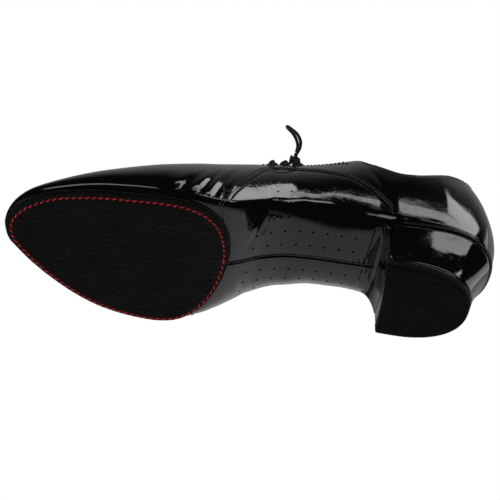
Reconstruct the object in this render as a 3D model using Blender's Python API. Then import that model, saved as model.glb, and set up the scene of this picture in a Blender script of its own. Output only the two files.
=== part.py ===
"""A laced, split-sole dance shoe for the right foot: patent leather upper, perforated arch panels,
suede forefoot outsole with a red lockstitch, and a covered block heel.

Metres. +X runs to the toe, +Y to the wearer's left (the arch side), +Z up.
The origin is on the floor, under the middle of the heel's top piece.

The upper, its linings and everything that lies inside it are cut from one shape, the form: `skin`
gives a point of the form from a station along it and an angle round its section. Rails, drawn for
the base size, say how wide and high the form is at each station, and grade with the driving sizes.
"""

import math

import bmesh
import bpy
import numpy as np
from mathutils import Vector

MM = 0.001

# Driving sizes
FORM_LENGTH = 0.2965  # seat back to toe tip
BALL_WIDTH = 0.0948  # widest part of the forefoot
HEEL_HEIGHT = 0.038  # floor to the top of the heel block
TOP_PIECE = 0.005
HEEL_TIP_LENGTH = 0.055
HEEL_TIP_WIDTH = 0.0536
BREAST_SKEW = 0.0036  # at the floor, the heel's front is further forward on the arch side
HEEL_COVER = 0.001
OUTSOLE = 0.0026
GAP = 0.0003  # between pieces that touch
LAYER_GAP = 0.0004  # between the curved layers of the upper
LEATHER = 0.0013
STIFFENER = 0.0008
LINING = 0.0008
FILLER = 0.0026
INSOLE = 0.0018
CUSHION = 0.0022
SOCK = 0.0008
TONGUE = 0.0018
SEAM_BEAD = 0.0011  # radius of the raised seam under the waist
BINDING = 0.0009  # radius of the topline binding
SEAM_HALF_GAP = 0.00025
LACE = 0.002  # diameter
EYELET_FLANGE = 0.0027  # radius
EYELET_HOLE = 0.0015  # radius
EYELET_WALL = 0.0005
NAIL_RADIUS = 0.0009
SCREW_RADIUS = 0.002
STITCH = 0.0009  # diameter of the outsole thread
STITCH_INSET = 0.0044
CHANNEL = 0.0013  # depth of the channel that the thread lies in
FILLER_MARGIN = 0.008
INSOLE_MARGIN = 0.0018  # the insole's rim, inside the lining
NAIL_HEAD = 0.001  # what the nails stand above the seat board
NAILS = ((0.012, 0.013), (0.012, -0.013), (-0.018, 0.012), (-0.018, -0.012))

# The base size that the rails are drawn for
BASE_LENGTH = 0.2965
BASE_WIDTH = 0.0948
SEAT_BACK = -0.043
GRADE_X = FORM_LENGTH / BASE_LENGTH
GRADE_Y = BALL_WIDTH / BASE_WIDTH
LIFT = HEEL_HEIGHT - 0.038  # what a change of heel height adds at the seat
THICK = OUTSOLE - 0.0026  # what a change of outsole adds under the ball

COLLECTION = "dance_shoe"


def station(x_mm):
    """Share of the half turn that the station takes, for a place in mm on the base size."""
    share = (np.asarray(x_mm, float) * MM - SEAT_BACK) / BASE_LENGTH
    return np.arccos(1 - 2 * np.clip(share, 0, 1)) / np.pi


def flowing_slopes(knots, values):
    """Slopes of a smooth path: each follows its two neighbours."""
    return np.gradient(values, knots)


def graded(x_mm):
    """The real place along the shoe, in metres, of a place in mm on the base size."""
    return SEAT_BACK + (np.asarray(x_mm, float) * MM - SEAT_BACK) * GRADE_X


def level_slopes(knots, values):
    """Slopes that never overshoot: level at each high and low, a weighted mean elsewhere."""
    width, rise = np.diff(knots), np.diff(values) / np.diff(knots)
    before, after = 2 * width[1:] + width[:-1], width[1:] + 2 * width[:-1]
    same = rise[:-1] * rise[1:] > 0
    safe = np.where(same, rise[:-1], 1), np.where(same, rise[1:], 1)
    inner = np.where(same, (before + after) / (before / safe[0] + after / safe[1]), 0)
    return np.concatenate([rise[:1], inner, rise[-1:]])


def hermite(knots, values, slopes=flowing_slopes):
    """A smooth curve through the values."""
    knots = np.asarray(knots, float)
    values = np.asarray(values, float)
    slope = slopes(knots, values)

    def at(t):
        t = np.clip(np.asarray(t, float), knots[0], knots[-1])
        i = np.clip(np.searchsorted(knots, t, side="right") - 1, 0, len(knots) - 2)
        width = knots[i + 1] - knots[i]
        u = (t - knots[i]) / width
        low = (1 + 2 * u) * (1 - u) ** 2 * values[i] + u * (1 - u) ** 2 * width * slope[i]
        high = u**2 * (3 - 2 * u) * values[i + 1] - u**2 * (1 - u) * width * slope[i + 1]
        return low + high

    return at


def rail(points):
    """A size in mm along the form, as a function of the station."""
    return hermite(station([p[0] for p in points]), [p[1] for p in points], level_slopes)


# Rails: place in mm from the heel's middle, size in mm
MEDIAL = rail([(-43, 0), (-38, 15.5), (-33.7, 21.4), (-22, 27.5), (-6, 31), (8, 31.5), (22, 30.4),
               (35, 28.8), (60, 27.6), (80, 29), (98, 33.2), (118, 39.6), (132, 43.6), (150, 46.4),
               (165, 46.8), (180, 45.8), (200, 42.6), (215, 38.2), (228, 32.6), (241.5, 25),
               (249, 17.4), (253.5, 3)])
LATERAL = rail([(-43, 0), (-38, 15.5), (-33.7, 21.4), (-22, 27.5), (-6, 31), (8, 31.7), (22, 32),
                (35, 33), (60, 36), (80, 38), (98, 40.4), (118, 43.6), (132, 46), (150, 48),
                (165, 48), (180, 46.2), (200, 40.4), (215, 33.6), (228, 26), (241.5, 17.2),
                (249, 10), (253.5, -3)])
RIDGE_Y = rail([(-43, 0), (10, 1), (60, 5), (110, 6), (150, 5), (200, 4), (235, 4), (253.5, 3)])
KEEL_Y = rail([(-43, 0), (0, -1), (30, -4), (80, -5), (118, -3), (160, 0), (210, 2), (253.5, 3)])
RIDGE_Z = rail([(-43, 134), (-20, 134), (0, 132), (20, 126), (38, 118.5), (50, 112.5), (74, 101),
                (100, 90), (138, 71.4), (169, 56.4), (200, 40.8), (224, 28.8), (242.5, 19.6),
                (249, 15.4), (253.5, 9.6)])
SOLE_Z = rail([(-43, 38.5), (18, 38.5), (26, 34.6), (40, 33.2), (60, 32.8), (80, 30.8), (98, 24),
               (110, 16), (118, 10.8), (126, 6.8), (132, 4.9), (140, 3.3), (146, 2.9), (186, 2.9),
               (200, 3.7), (215, 5), (230, 6.8), (253.5, 9.6)])
SIDE_Z = rail([(-43, 43.5), (10, 43.5), (22, 45), (32, 48), (45, 50.6), (60, 51.2), (80, 46.7),
               (98, 37.4), (110, 27.4), (118, 20.6), (126, 15), (132, 12.2), (140, 10),
               (150, 8.9), (186, 8.7), (200, 9.4), (215, 10.4), (230, 11.6), (242.5, 12),
               (249, 11.4), (253.5, 9.6)])
SEAT_SHARE = rail([(-43, 1), (22, 1), (45, 0.93), (80, 0.78), (98, 0.6), (118, 0.24), (132, 0.06),
                   (146, 0), (253.5, 0)])
UPPER_SPREAD = rail([(-43, 0.66), (20, 0.72), (70, 0.86), (130, 0.84), (200, 0.8), (253.5, 0.8)])
UPPER_RISE = rail([(-43, 1), (40, 1), (100, 0.95), (160, 0.9), (253.5, 0.9)])
UNDER_SPREAD = rail([(-43, 0.22), (14, 0.22), (30, 0.7), (45, 0.9), (98, 0.85), (118, 0.6),
                     (134, 0.34), (150, 0.24), (253.5, 0.24)])
# The back's lean: height in mm, place in mm
BACK_X = hermite([38.5, 58, 84, 108, 134], [-43, -47.2, -45.6, -38, -27])


def heights(f):
    """The form's underside, widest line and ridge at a station, in metres."""
    lift = SEAT_SHARE(f) * LIFT + (1 - SEAT_SHARE(f)) * THICK
    return (SOLE_Z(f) * MM + lift, SIDE_Z(f) * MM + lift, RIDGE_Z(f) * MM + lift)


def skin(f, phi, side, inset=0.0):
    """Points of the form, `inset` inside its outer face. phi is the angle round the section: 0 at
    the widest line, 90 degrees on the ridge and -90 on the centre line of the underside."""
    f, phi, side = np.broadcast_arrays(f, phi, side)
    under, widest, ridge = heights(f)
    upper = phi >= 0
    ridge_y = RIDGE_Y(f) * MM * GRADE_Y
    edge = side * np.where(side > 0, MEDIAL(f), LATERAL(f)) * MM * GRADE_Y
    edge = edge - side * inset * (1 - np.exp(-np.abs(edge - ridge_y) / 0.008))
    centre = np.where(upper, ridge_y, KEEL_Y(f) * MM * GRADE_Y)
    cosine = np.clip(np.cos(phi), 0, 1)
    sine = np.abs(np.sin(phi))
    spread = cosine ** np.where(upper, UPPER_SPREAD(f), UNDER_SPREAD(f))
    y = centre + (edge - centre) * spread
    tall = ridge - widest
    deep = widest - under
    above = (tall - inset * (1 - np.exp(-tall / 0.006))) * sine ** UPPER_RISE(f)
    below = (deep - inset * (1 - np.exp(-deep / 0.0012))) * sine
    z = widest + np.where(upper, above, -below)
    share = (1 - np.cos(np.pi * f)) / 2
    start = SEAT_BACK + inset
    x = start + (FORM_LENGTH - 2 * inset) * share
    lean = BACK_X((z - LIFT) / MM) * MM - SEAT_BACK
    x = x + lean * (1 - share) ** 3
    return np.stack([x, y, z], -1)


def degrees(values):
    return np.radians(np.asarray(values, float))


def place(f):
    """The place in mm of a station: the reverse of `station`."""
    return (SEAT_BACK + BASE_LENGTH * (1 - np.cos(np.pi * np.asarray(f))) / 2) / MM


def run(points, count):
    """Evenly spaced (mm, degrees) pairs on a smooth line through the given ones."""
    points = np.asarray(points, float)
    f = station(points[:, 0])
    step = np.hypot(np.diff(f) * 400, np.diff(points[:, 1]) * 0.8)
    along = np.concatenate([[0], np.cumsum(step)])
    at = np.linspace(0, along[-1], count)
    return place(hermite(along, f)(at)), hermite(along, points[:, 1])(at)


# Seams, as (mm, degrees) on the base size
FRONT_SEAM = [(132, -45), (130.4, -18), (126.2, 3.5), (119, 13), (111.5, 23), (104, 33), (98, 38)]
REAR_SEAM = [(22, 0), (27, 2.5), (32, 7.5), (38.5, 15.5), (44.5, 22), (51, 28), (59.5, 33),
             (70, 37.5), (82, 39.5), (98, 38)]
THROAT = [(98, 38), (101, 50), (104, 64), (108, 80), (109, 90)]
TOPLINE = [(-43, 108), (-32, 107), (-20, 103.4), (-6, 96), (8, 91), (18, 91.6), (27, 97.5),
           (34, 104)]
FACING = [(40, 64), (47, 71.5), (60, 75), (80, 76), (104.4, 76)]
MARGIN = -62.0  # how far the upper is lasted under, in degrees
LACE_PLACES = (79.0, 87.5, 96.0)
EYELET_ANGLE = 66.0
TOP_EDGE = 0.4
WAIST_START = 27.5
WAIST_END = 124.0
BACK_SEAM = -42.97
SEAT_FRONT = 18
BINDING_END = 32


def angle_at(x_mm, z_mm):
    """The angle at which the form's outer face has this height, by bisection."""
    low, high = np.zeros(np.shape(x_mm)), np.full(np.shape(x_mm), np.pi / 2)
    f = station(x_mm)
    lift = LIFT * SEAT_SHARE(f)
    for _ in range(30):
        middle = (low + high) / 2
        below = skin(f, middle, 1)[..., 2] - lift < np.asarray(z_mm) * MM
        low, high = np.where(below, middle, low), np.where(below, high, middle)
    return np.degrees(low)


def top_run(count):
    """The quarter's top edge: the topline from the back, then the facing down to the throat."""
    xs = np.array([p[0] for p in TOPLINE], float)
    angles = angle_at(xs, np.array([p[1] for p in TOPLINE], float))
    return run(list(zip(xs, angles)) + FACING, count)


# Building


def fresh_collections():
    for obj in list(bpy.data.objects):
        bpy.data.objects.remove(obj, do_unlink=True)
    made = []
    for name in (COLLECTION, "cutters"):
        collection = bpy.data.collections.new(name)
        bpy.context.scene.collection.children.link(collection)
        made.append(collection)
    return made


PARTS, CUTTERS = fresh_collections()


def material(name, colour, roughness, metallic=0.0):
    mat = bpy.data.materials.new(name)
    mat.use_nodes = True
    shader = mat.node_tree.nodes["Principled BSDF"]
    shader.inputs["Base Color"].default_value = (*colour, 1)
    shader.inputs["Roughness"].default_value = roughness
    shader.inputs["Metallic"].default_value = metallic
    return mat


PATENT = material("black_patent_leather", (0.008, 0.008, 0.009), 0.08)
SUEDE = material("black_suede", (0.012, 0.012, 0.013), 0.95)
THREAD = material("red_thread", (0.75, 0.03, 0.05), 0.6)
TEXTILE = material("black_textile_lining", (0.02, 0.02, 0.022), 0.9)
BOARD = material("fibre_board", (0.42, 0.3, 0.18), 0.85)
FOAM = material("grey_foam", (0.3, 0.3, 0.31), 0.95)
PLASTIC = material("heel_plastic", (0.03, 0.03, 0.03), 0.45)
STEEL = material("steel", (0.6, 0.6, 0.6), 0.3, 1.0)
ENAMEL = material("black_enamelled_metal", (0.01, 0.01, 0.01), 0.3, 1.0)
CORD = material("black_lace", (0.015, 0.015, 0.016), 0.75)


def finish(name, mesh, mat, collection=None):
    obj = bpy.data.objects.new(name, mesh)
    (collection or PARTS).objects.link(obj)
    obj.data.materials.append(mat)
    mesh.shade_smooth()
    mesh.set_sharp_from_angle(angle=math.radians(40))
    return obj


def closed_mesh(name, points, faces):
    """A mesh from faces that all turn one way, with coinciding points made one, facing out."""
    mesh = bpy.data.meshes.new(name)
    mesh.from_pydata([tuple(p) for p in points], [], faces)
    work = bmesh.new()
    work.from_mesh(mesh)
    bmesh.ops.remove_doubles(work, verts=work.verts, dist=1e-6)
    bmesh.ops.dissolve_degenerate(work, edges=work.edges, dist=1e-6)
    if work.calc_volume(signed=True) < 0:
        bmesh.ops.reverse_faces(work, faces=work.faces)
    work.to_mesh(mesh)
    work.free()
    return mesh


def grid_faces(rows, columns, first=0, loop=False, flip=False):
    """The faces of a grid of points numbered row by row from `first`."""
    faces = []
    for r in range(rows - 1):
        for c in range(columns if loop else columns - 1):
            a, b = first + r * columns + c, first + r * columns + (c + 1) % columns
            face = (a, b, b + columns, a + columns)
            faces.append(face[::-1] if flip else face)
    return faces


def wall_faces(row, count, loop=False):
    """The wall from a chain of the first grid's points to the same chain in the second."""
    pairs = list(zip(row, row[1:])) + ([(row[-1], row[0])] if loop else [])
    return [(d, c, c + count, d + count) for c, d in pairs]


def slab(name, top, bottom, mat, loop=False):
    """A closed solid between two grids of points with the same rows and columns. With `loop` the
    columns close on themselves, as a ring's do."""
    rows, columns = top.shape[:2]
    count = rows * columns
    faces = grid_faces(rows, columns, 0, loop) + grid_faces(rows, columns, count, loop, True)
    first, last = list(range(columns)), list(range(count - columns, count))
    faces += wall_faces(first, count, loop) + wall_faces(last[::-1], count, loop)
    if not loop:
        left, right = list(range(0, count, columns)), list(range(columns - 1, count, columns))
        faces += wall_faces(left[::-1], count) + wall_faces(right, count)
    points = np.concatenate([top.reshape(-1, 3), bottom.reshape(-1, 3)])
    return finish(name, closed_mesh(name, points, faces), mat)


def layer(name, f, angle, side, depth, thickness, mat):
    """A panel of the form, from `depth` inside its outer face inwards by `thickness`."""
    phi = degrees(angle)
    outer = skin(f, phi, side, depth)
    inner = skin(f, phi, side, depth + thickness)
    return slab(name, outer, inner, mat)


def ruled(low, high, rows):
    """(station, angle) grids between two runs, in `rows` steps."""
    t = np.linspace(0, 1, rows)[:, None]
    start, end = station(low[0]), station(high[0])
    return start + (end - start) * t, low[1] + (high[1] - low[1]) * t


STIFFENER_DEPTH = LEATHER + LAYER_GAP
LINING_DEPTH = STIFFENER_DEPTH + STIFFENER + LAYER_GAP
INSIDE = LINING_DEPTH + LINING + GAP


def vamp_grid(rows, columns, back_off, margin):
    """The vamp's (station, angle, side) grid, from the toe tip back to the front seam and throat."""
    seam_count, throat_count, under_count = columns
    seam, throat = run(FRONT_SEAM, seam_count), run(THROAT, throat_count)
    low_angle = np.linspace(margin, FRONT_SEAM[0][1], under_count)[:-1]
    low_x = np.interp(low_angle, [-90, FRONT_SEAM[0][1]], [WAIST_END + 2.5, FRONT_SEAM[0][0]])
    angle = np.concatenate([low_angle, seam[1], throat[1][1:]])
    back = np.concatenate([low_x, seam[0], throat[0][1:]]) + back_off
    angle = np.concatenate([angle, angle[-2::-1]])
    back = np.concatenate([back, back[-2::-1]])
    side = np.where(np.arange(len(angle)) < (len(angle) + 1) // 2, 1, -1)
    t = np.linspace(0, 1, rows)[:, None]
    f = 1 + (station(back) - 1) * t
    return f, np.broadcast_to(angle, f.shape), np.broadcast_to(side, f.shape)


def make_vamp():
    gap = SEAM_HALF_GAP / MM
    f, angle, side = vamp_grid(13, (9, 5, 3), gap, MARGIN)
    layer("vamp", f, angle, side, 0, LEATHER, PATENT)
    f, angle, side = vamp_grid(11, (9, 4, 2), gap + 1, MARGIN + 4)
    layer("vamp_lining", f, angle, side, LINING_DEPTH, LINING, TEXTILE)


def make_toe_puff():
    angle = np.concatenate([np.linspace(-40, 90, 10), np.linspace(90, -40, 10)[1:]])
    side = np.where(np.arange(len(angle)) < 10, 1, -1)
    back = np.interp(np.abs(angle), [0, 90], [222, 212])
    t = np.linspace(0, 1, 6)[:, None]
    f = 1 + (station(back) - 1) * t
    shape = f.shape
    layer("toe_puff", f, np.broadcast_to(angle, shape), np.broadcast_to(side, shape),
          STIFFENER_DEPTH, STIFFENER, BOARD)


def rear_seam_run(count, shift):
    x, angle = run(REAR_SEAM, count)
    return x, angle + shift


def quarter_low(seat_count, seam_count, drop, lift):
    """The quarter's lower edge: the seat margin, up the waist corner and along the rear seam."""
    seat_x = place(np.linspace(station(BACK_SEAM), station(SEAT_FRONT), seat_count))
    seam_x, seam_angle = rear_seam_run(seam_count, lift)
    x = np.concatenate([seat_x, [20, 21], seam_x])
    angle = np.concatenate([np.full(seat_count, drop), [drop * 0.66, drop * 0.3], seam_angle])
    return x, angle


def quarter_grid(drop, lift, top_drop):
    """The (station, angle) grid that the quarter's layers share, so that they stay parallel."""
    low = quarter_low(9, 10, drop, lift)
    high = top_run(len(low[0]))
    return ruled(low, (high[0], high[1] - top_drop), 8)


def make_quarters():
    for side, name in ((1, "medial"), (-1, "lateral")):
        f, angle = quarter_grid(MARGIN, 0.3, 0)
        outer = layer(f"quarter_{name}", f, angle, side, 0, LEATHER, PATENT)
        f, angle = quarter_grid(MARGIN + 4, 1.0, TOP_EDGE)
        inner = layer(f"quarter_lining_{name}", f, angle, side, LINING_DEPTH, LINING, TEXTILE)
        for obj in (outer, inner):
            pierce(obj, side)


def frame_at(x_mm, angle, side, inset=0.0):
    """A point of the form, its outward normal and its direction along the form."""
    f, phi, step = station(x_mm), math.radians(angle), 1e-4
    at = skin(f, phi, side, inset)
    along = skin(f + step, phi, side, inset) - at
    around = skin(f, phi + step, side, inset) - at
    normal = Vector(np.cross(along, around)).normalized() * side
    if normal.dot(Vector(at) - Vector((at[0], 0, 0.05))) < 0:
        normal = -normal
    return Vector(at), normal, Vector(along).normalized()


def cylinder(name, radius, start, end, sides=12):
    """A closed cylinder between two points, as a mesh in world space."""
    axis = end - start
    work = bmesh.new()
    bmesh.ops.create_cone(work, cap_ends=True, segments=sides, radius1=radius, radius2=radius,
                          depth=axis.length)
    turn = axis.to_track_quat("Z", "Y").to_matrix().to_4x4()
    turn.translation = (start + end) / 2
    bmesh.ops.transform(work, matrix=turn, verts=work.verts)
    mesh = bpy.data.meshes.new(name)
    work.to_mesh(mesh)
    work.free()
    return mesh


def cutter(name, mesh):
    obj = bpy.data.objects.new(name, mesh)
    CUTTERS.objects.link(obj)
    obj.hide_render = True
    obj.display_type = "WIRE"
    return obj


def cut(obj, tool):
    change = obj.modifiers.new(tool.name, "BOOLEAN")
    change.operation = "DIFFERENCE"
    change.solver = "EXACT"
    change.object = tool


def pierce(obj, side):
    """The eyelet holes of one facing."""
    for index, place in enumerate(LACE_PLACES):
        name = f"eyelet_hole_{index}_{side}"
        tool = bpy.data.objects.get(name)
        if tool is None:
            at, normal, _ = frame_at(place, EYELET_ANGLE, side)
            radius = EYELET_HOLE + EYELET_WALL + GAP
            mesh = cylinder(name, radius, at - normal * INSIDE * 2, at + normal * LEATHER)
            tool = cutter(name, mesh)
        cut(obj, tool)


def make_eyelets():
    """A turned ring: a barrel through the facing and a flange on the leather."""
    for side, label in ((1, "medial"), (-1, "lateral")):
        for index, place in enumerate(LACE_PLACES):
            at, normal, _ = frame_at(place, EYELET_ANGLE, side)
            base = at + normal * 0.0005
            inner, outer = EYELET_HOLE, EYELET_HOLE + EYELET_WALL
            top, deep = 0.0008, -(LINING_DEPTH + LINING)
            profile = [(inner, deep), (inner, top * 0.6), (inner + 0.0004, top),
                       (EYELET_FLANGE * 0.85, top), (EYELET_FLANGE, top * 0.4), (EYELET_FLANGE, 0),
                       (outer, 0), (outer, deep)]
            sides = 10
            turn = np.linspace(0, 2 * np.pi, sides, endpoint=False)
            ring = np.array([[(r * np.cos(a), r * np.sin(a), h) for a in turn] for r, h in profile])
            ring = np.concatenate([ring, ring[:1]])
            matrix = np.array(normal.to_track_quat("Z", "Y").to_matrix())
            points = ring[:-1].reshape(-1, 3) @ matrix.T + np.array(base)
            count = len(profile)
            faces = [(r * sides + c, r * sides + (c + 1) % sides,
                      (r + 1) % count * sides + (c + 1) % sides, (r + 1) % count * sides + c)
                     for r in range(count) for c in range(sides)]
            name = f"eyelet_{label}_{index + 1}"
            finish(name, closed_mesh(name, points, faces), ENAMEL)


def make_arch_panels():
    for side, name in ((1, "medial"), (-1, "lateral")):
        for label, depth, thick, mat, counts, shift in (
            ("panel", 0, LEATHER, PATENT, (11, 9, 7), 0.3),
            ("lining", LINING_DEPTH, LINING, TEXTILE, (8, 9, 5), 0.9),
        ):
            rear = rear_seam_run(counts[0], -shift)
            front = run(FRONT_SEAM[::-1], counts[1])
            top_x = np.concatenate([rear[0], front[0][1:] - SEAM_HALF_GAP / MM - shift])
            top_angle = np.concatenate([rear[1], front[1][1:] - shift])
            top_x[0] += 1.2
            share = np.linspace(0, 1, len(top_x))
            low_x = WAIST_START + (WAIST_END - WAIST_START) * share
            low_angle = np.full(len(top_x), -90 + 0.4)
            f, angle = ruled((low_x, low_angle), (top_x, top_angle), counts[2])
            node = f"arch_{label}_{name}"
            layer(node, f, angle, side, depth, thick, mat)


def tube(name, points, radius, mat, resolution=2):
    """A round cord on a chain of points, with filled ends."""
    data = bpy.data.curves.new(name, "CURVE")
    data.dimensions = "3D"
    data.bevel_depth = radius
    data.bevel_resolution = resolution
    data.use_fill_caps = True
    spline = data.splines.new("POLY")
    spline.points.add(len(points) - 1)
    for point, place in zip(spline.points, points):
        point.co = (*place, 1)
    obj = bpy.data.objects.new(name, data)
    PARTS.objects.link(obj)
    data.materials.append(mat)
    return obj


def smooth_path(points, count):
    """Evenly spaced points on a smooth curve through the given ones."""
    points = np.asarray(points, float)
    along = np.concatenate([[0], np.cumsum(np.linalg.norm(np.diff(points, axis=0), axis=1))])
    at = np.linspace(0, along[-1], count)
    return np.stack([hermite(along, points[:, i])(at) for i in range(3)], 1)


def make_arch_seam():
    x = np.linspace(WAIST_START + 3, SOLE_START - 2, 22)
    middle = skin(station(x), -np.pi / 2, 1)
    middle[:, 2] -= SEAM_BEAD + GAP * 2.2
    tube("arch_centre_seam", middle, SEAM_BEAD, PATENT, 1)


def make_binding():
    """A round binding that runs on the topline, from one facing round the back to the other."""
    x, angle = top_run(44)
    keep = x < BINDING_END
    x, angle = x[keep][1:], angle[keep][1:]
    rise = BINDING + 0.0012
    sides = []
    for side in (1, -1):
        edge = skin(station(x), degrees(angle), side, LEATHER)
        around = skin(station(x), degrees(angle - 0.5), side, LEATHER)
        up = edge - around
        up /= np.linalg.norm(up, axis=1)[:, None]
        sides.append(edge + up * rise)
    path = np.concatenate([sides[0][::-1], sides[1]])
    tube("topline_binding", smooth_path(path, 34), BINDING, PATENT, 1)


def make_counter():
    """The stiffener between quarter and lining, from the seat up the back and along both sides."""
    f, angle = quarter_grid(MARGIN + 2, 0.3, 0)
    f, angle = f[1:6, :8], angle[1:6, :8]
    both_f = np.concatenate([f[:, ::-1], f[:, 1:]], 1)
    both_angle = np.concatenate([angle[:, ::-1], angle[:, 1:]], 1)
    side = np.where(np.arange(both_f.shape[1]) < f.shape[1], 1, -1)
    side = np.broadcast_to(side, both_f.shape)
    layer("heel_counter", both_f, both_angle, side, STIFFENER_DEPTH, STIFFENER, BOARD)


def make_tongue():
    angle = np.concatenate([np.linspace(58, 90, 6), np.linspace(90, 58, 6)[1:]])
    side = np.where(np.arange(len(angle)) < 6, 1, -1)
    bow = np.cos(np.radians(90 - angle) * 2.4)
    front = 114 + 0 * angle
    back = 36 - 6 * bow
    t = np.linspace(0, 1, 9)[:, None]
    f = station(front + (back - front) * t)
    deep = INSIDE + LACE + 3 * GAP
    layer("tongue", f, np.broadcast_to(angle, f.shape), np.broadcast_to(side, f.shape), deep,
          TONGUE, TEXTILE)


# Sole and footbed


def plate(name, start, end, side_gap, lift, thickness, mat, count=20, across=5):
    """A plate inside the form: it follows the underside, `lift` above it, out to the inner wall."""
    f = np.linspace(station(start), station(end), count)
    under, widest, _ = heights(f)
    room = widest - under - INSIDE * (1 - np.exp(-(widest - under) / 0.0012))
    drop = np.clip((widest - under - lift) / np.maximum(room, 1e-4), 0, 0.97)
    phi = -np.arcsin(drop)
    medial, lateral = skin(f, phi, 1, INSIDE), skin(f, phi, -1, INSIDE)
    end_round = np.clip((1 - np.linspace(-1, 1, count) ** 12), 0, 1) ** 0.5
    t = np.linspace(0, 1, across)
    middle = (medial[:, 1] + lateral[:, 1]) / 2
    half = ((medial[:, 1] - lateral[:, 1]) / 2 - side_gap) * np.maximum(end_round, 0.55)
    y = middle[:, None] + half[:, None] * np.cos(np.pi * t)
    x = np.broadcast_to(medial[:, :1], y.shape)
    base = under[:, None] + lift + 0 * y
    low = np.stack([x, y, base], -1)
    high = np.stack([x, y, base + thickness], -1)
    return slab(name, high, low, mat)


SOLE_START = 119.5


def make_outsole():
    """Rings from the edge inwards, with a channel for the thread, and a grid across the middle."""
    edge = sole_edge(38)
    channel = STITCH / 2 + 0.0004
    rings = ((0, 0.0006), (0.0006, 0), (STITCH_INSET - channel, 0),
             (STITCH_INSET - channel * 0.7, CHANNEL), (STITCH_INSET + channel * 0.7, CHANNEL),
             (STITCH_INSET + channel, 0), (0.011, 0))
    low, top = [], []
    for inset, rise in rings:
        ring = inset_loop(edge, inset)
        height = sole_bottom(ring[:, 0])
        low.append(np.column_stack([ring, height + rise]))
        top.append(np.column_stack([ring, height + OUTSOLE]))
    half, across = len(edge) // 2, np.linspace(0, 1, 5)[None, :, None]
    inner = inset_loop(edge, rings[-1][0])
    medial, lateral = inner[: half + 1], inner[-np.arange(half + 1)]
    middle = medial[:, None] * (1 - across) + lateral[:, None] * across
    height = sole_bottom(middle[..., 0])
    fill_low = np.concatenate([middle, height[..., None]], -1)
    fill_top = np.concatenate([middle, height[..., None] + OUTSOLE], -1)
    rows, columns = len(rings), len(edge)
    count, cells = rows * columns, fill_low.shape[0] * fill_low.shape[1]
    faces = grid_faces(rows, columns, 0, True) + grid_faces(rows, columns, count, True, True)
    faces += wall_faces(list(range(columns)), count, True)
    faces += grid_faces(half + 1, 5, 2 * count, False, True)
    faces += grid_faces(half + 1, 5, 2 * count + cells)
    points = np.concatenate([np.array(p).reshape(-1, 3) for p in (top, low, fill_top, fill_low)])
    finish("outsole_suede", closed_mesh("outsole_suede", points, faces), SUEDE)
    thread = inset_loop(edge, STITCH_INSET)
    path = np.column_stack([thread, sole_bottom(thread[:, 0]) + CHANNEL - STITCH / 2 - GAP])[1:-1]
    tube("outsole_stitching", path, STITCH / 2, THREAD, resolution=1)


def sole_edge(count):
    """The outsole's outline in plan, from the middle of its rear edge round by the medial side."""
    medial = [(0, 1.0), (2, 15.5), (6, 26.5), (13, 36), (22, 42.4), (32, 45.2), (46, 45.8),
              (62, 44.4), (82, 41.4), (97, 37.2), (111, 31.4), (122.5, 23.4), (130, 14.6), (133.5, 3)]
    lateral = [(2, -15.5), (6, -27), (13, -37), (22, -43.4), (32, -46.4), (46, -46.8),
               (62, -44.8), (82, -39), (97, -32), (111, -24), (122.5, -15.2), (130, -8.2)]
    loop = np.array(medial + lateral[::-1] + medial[:1], float)
    loop = smooth_loop(loop, count)
    return np.column_stack([graded(loop[:, 0] + SOLE_START), loop[:, 1] * MM * GRADE_Y])


def smooth_loop(points, count):
    """Evenly spaced points on a closed smooth curve; the first point repeats at the end."""
    again = np.concatenate([points[-4:-1], points, points[1:4]])
    along = np.concatenate([[0], np.cumsum(np.linalg.norm(np.diff(again, axis=0), axis=1))])
    first, last = along[3], along[-4]
    at = np.linspace(first, last, count, endpoint=False)
    return np.stack([hermite(along, again[:, i])(at) for i in range(points.shape[1])], 1)


def inset_loop(loop, distance):
    """The loop moved inwards by `distance`, towards its left as it is walked."""
    ahead, behind = np.roll(loop, -1, 0), np.roll(loop, 1, 0)
    along = ahead - behind
    along /= np.linalg.norm(along, axis=1)[:, None]
    inward = np.stack([along[:, 1], -along[:, 0]], 1)
    middle = loop.mean(0)
    if ((middle - loop) * inward).sum() < 0:
        inward = -inward
    return loop + inward * distance


def sole_bottom(x):
    """The outsole's lower face: flat under the ball, with toe spring and a raised rear edge."""
    base_x = SEAT_BACK + (x - SEAT_BACK) / GRADE_X
    return heights(station(base_x / MM))[0] - OUTSOLE - GAP


def make_footbed():
    lift = LEATHER + LINING + STIFFENER + 5 * GAP
    plate("forefoot_filler", 136, 236, FILLER_MARGIN, GAP, FILLER, BOARD, 16, 5)
    plate("forefoot_insole", 124, 244, INSOLE_MARGIN, lift, INSOLE, BOARD)
    plate("forefoot_cushion", 126, 232, 0.002, lift + INSOLE + GAP, CUSHION, FOAM)
    top = lift + INSOLE + CUSHION + 2 * GAP
    plate("forefoot_sock", 124, 235, 0.0012, top, SOCK, TEXTILE)
    plate("heel_seat_board", -39, 29, 0.0012, lift, INSOLE, BOARD, 14)
    above = lift + INSOLE + GAP + NAIL_HEAD
    plate("heel_cushion", -38, 15, 0.002, above, CUSHION, FOAM, 14)
    plate("heel_sock", -39, 16, 0.0012, above + CUSHION + GAP, SOCK, TEXTILE, 14)


# Heel


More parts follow.
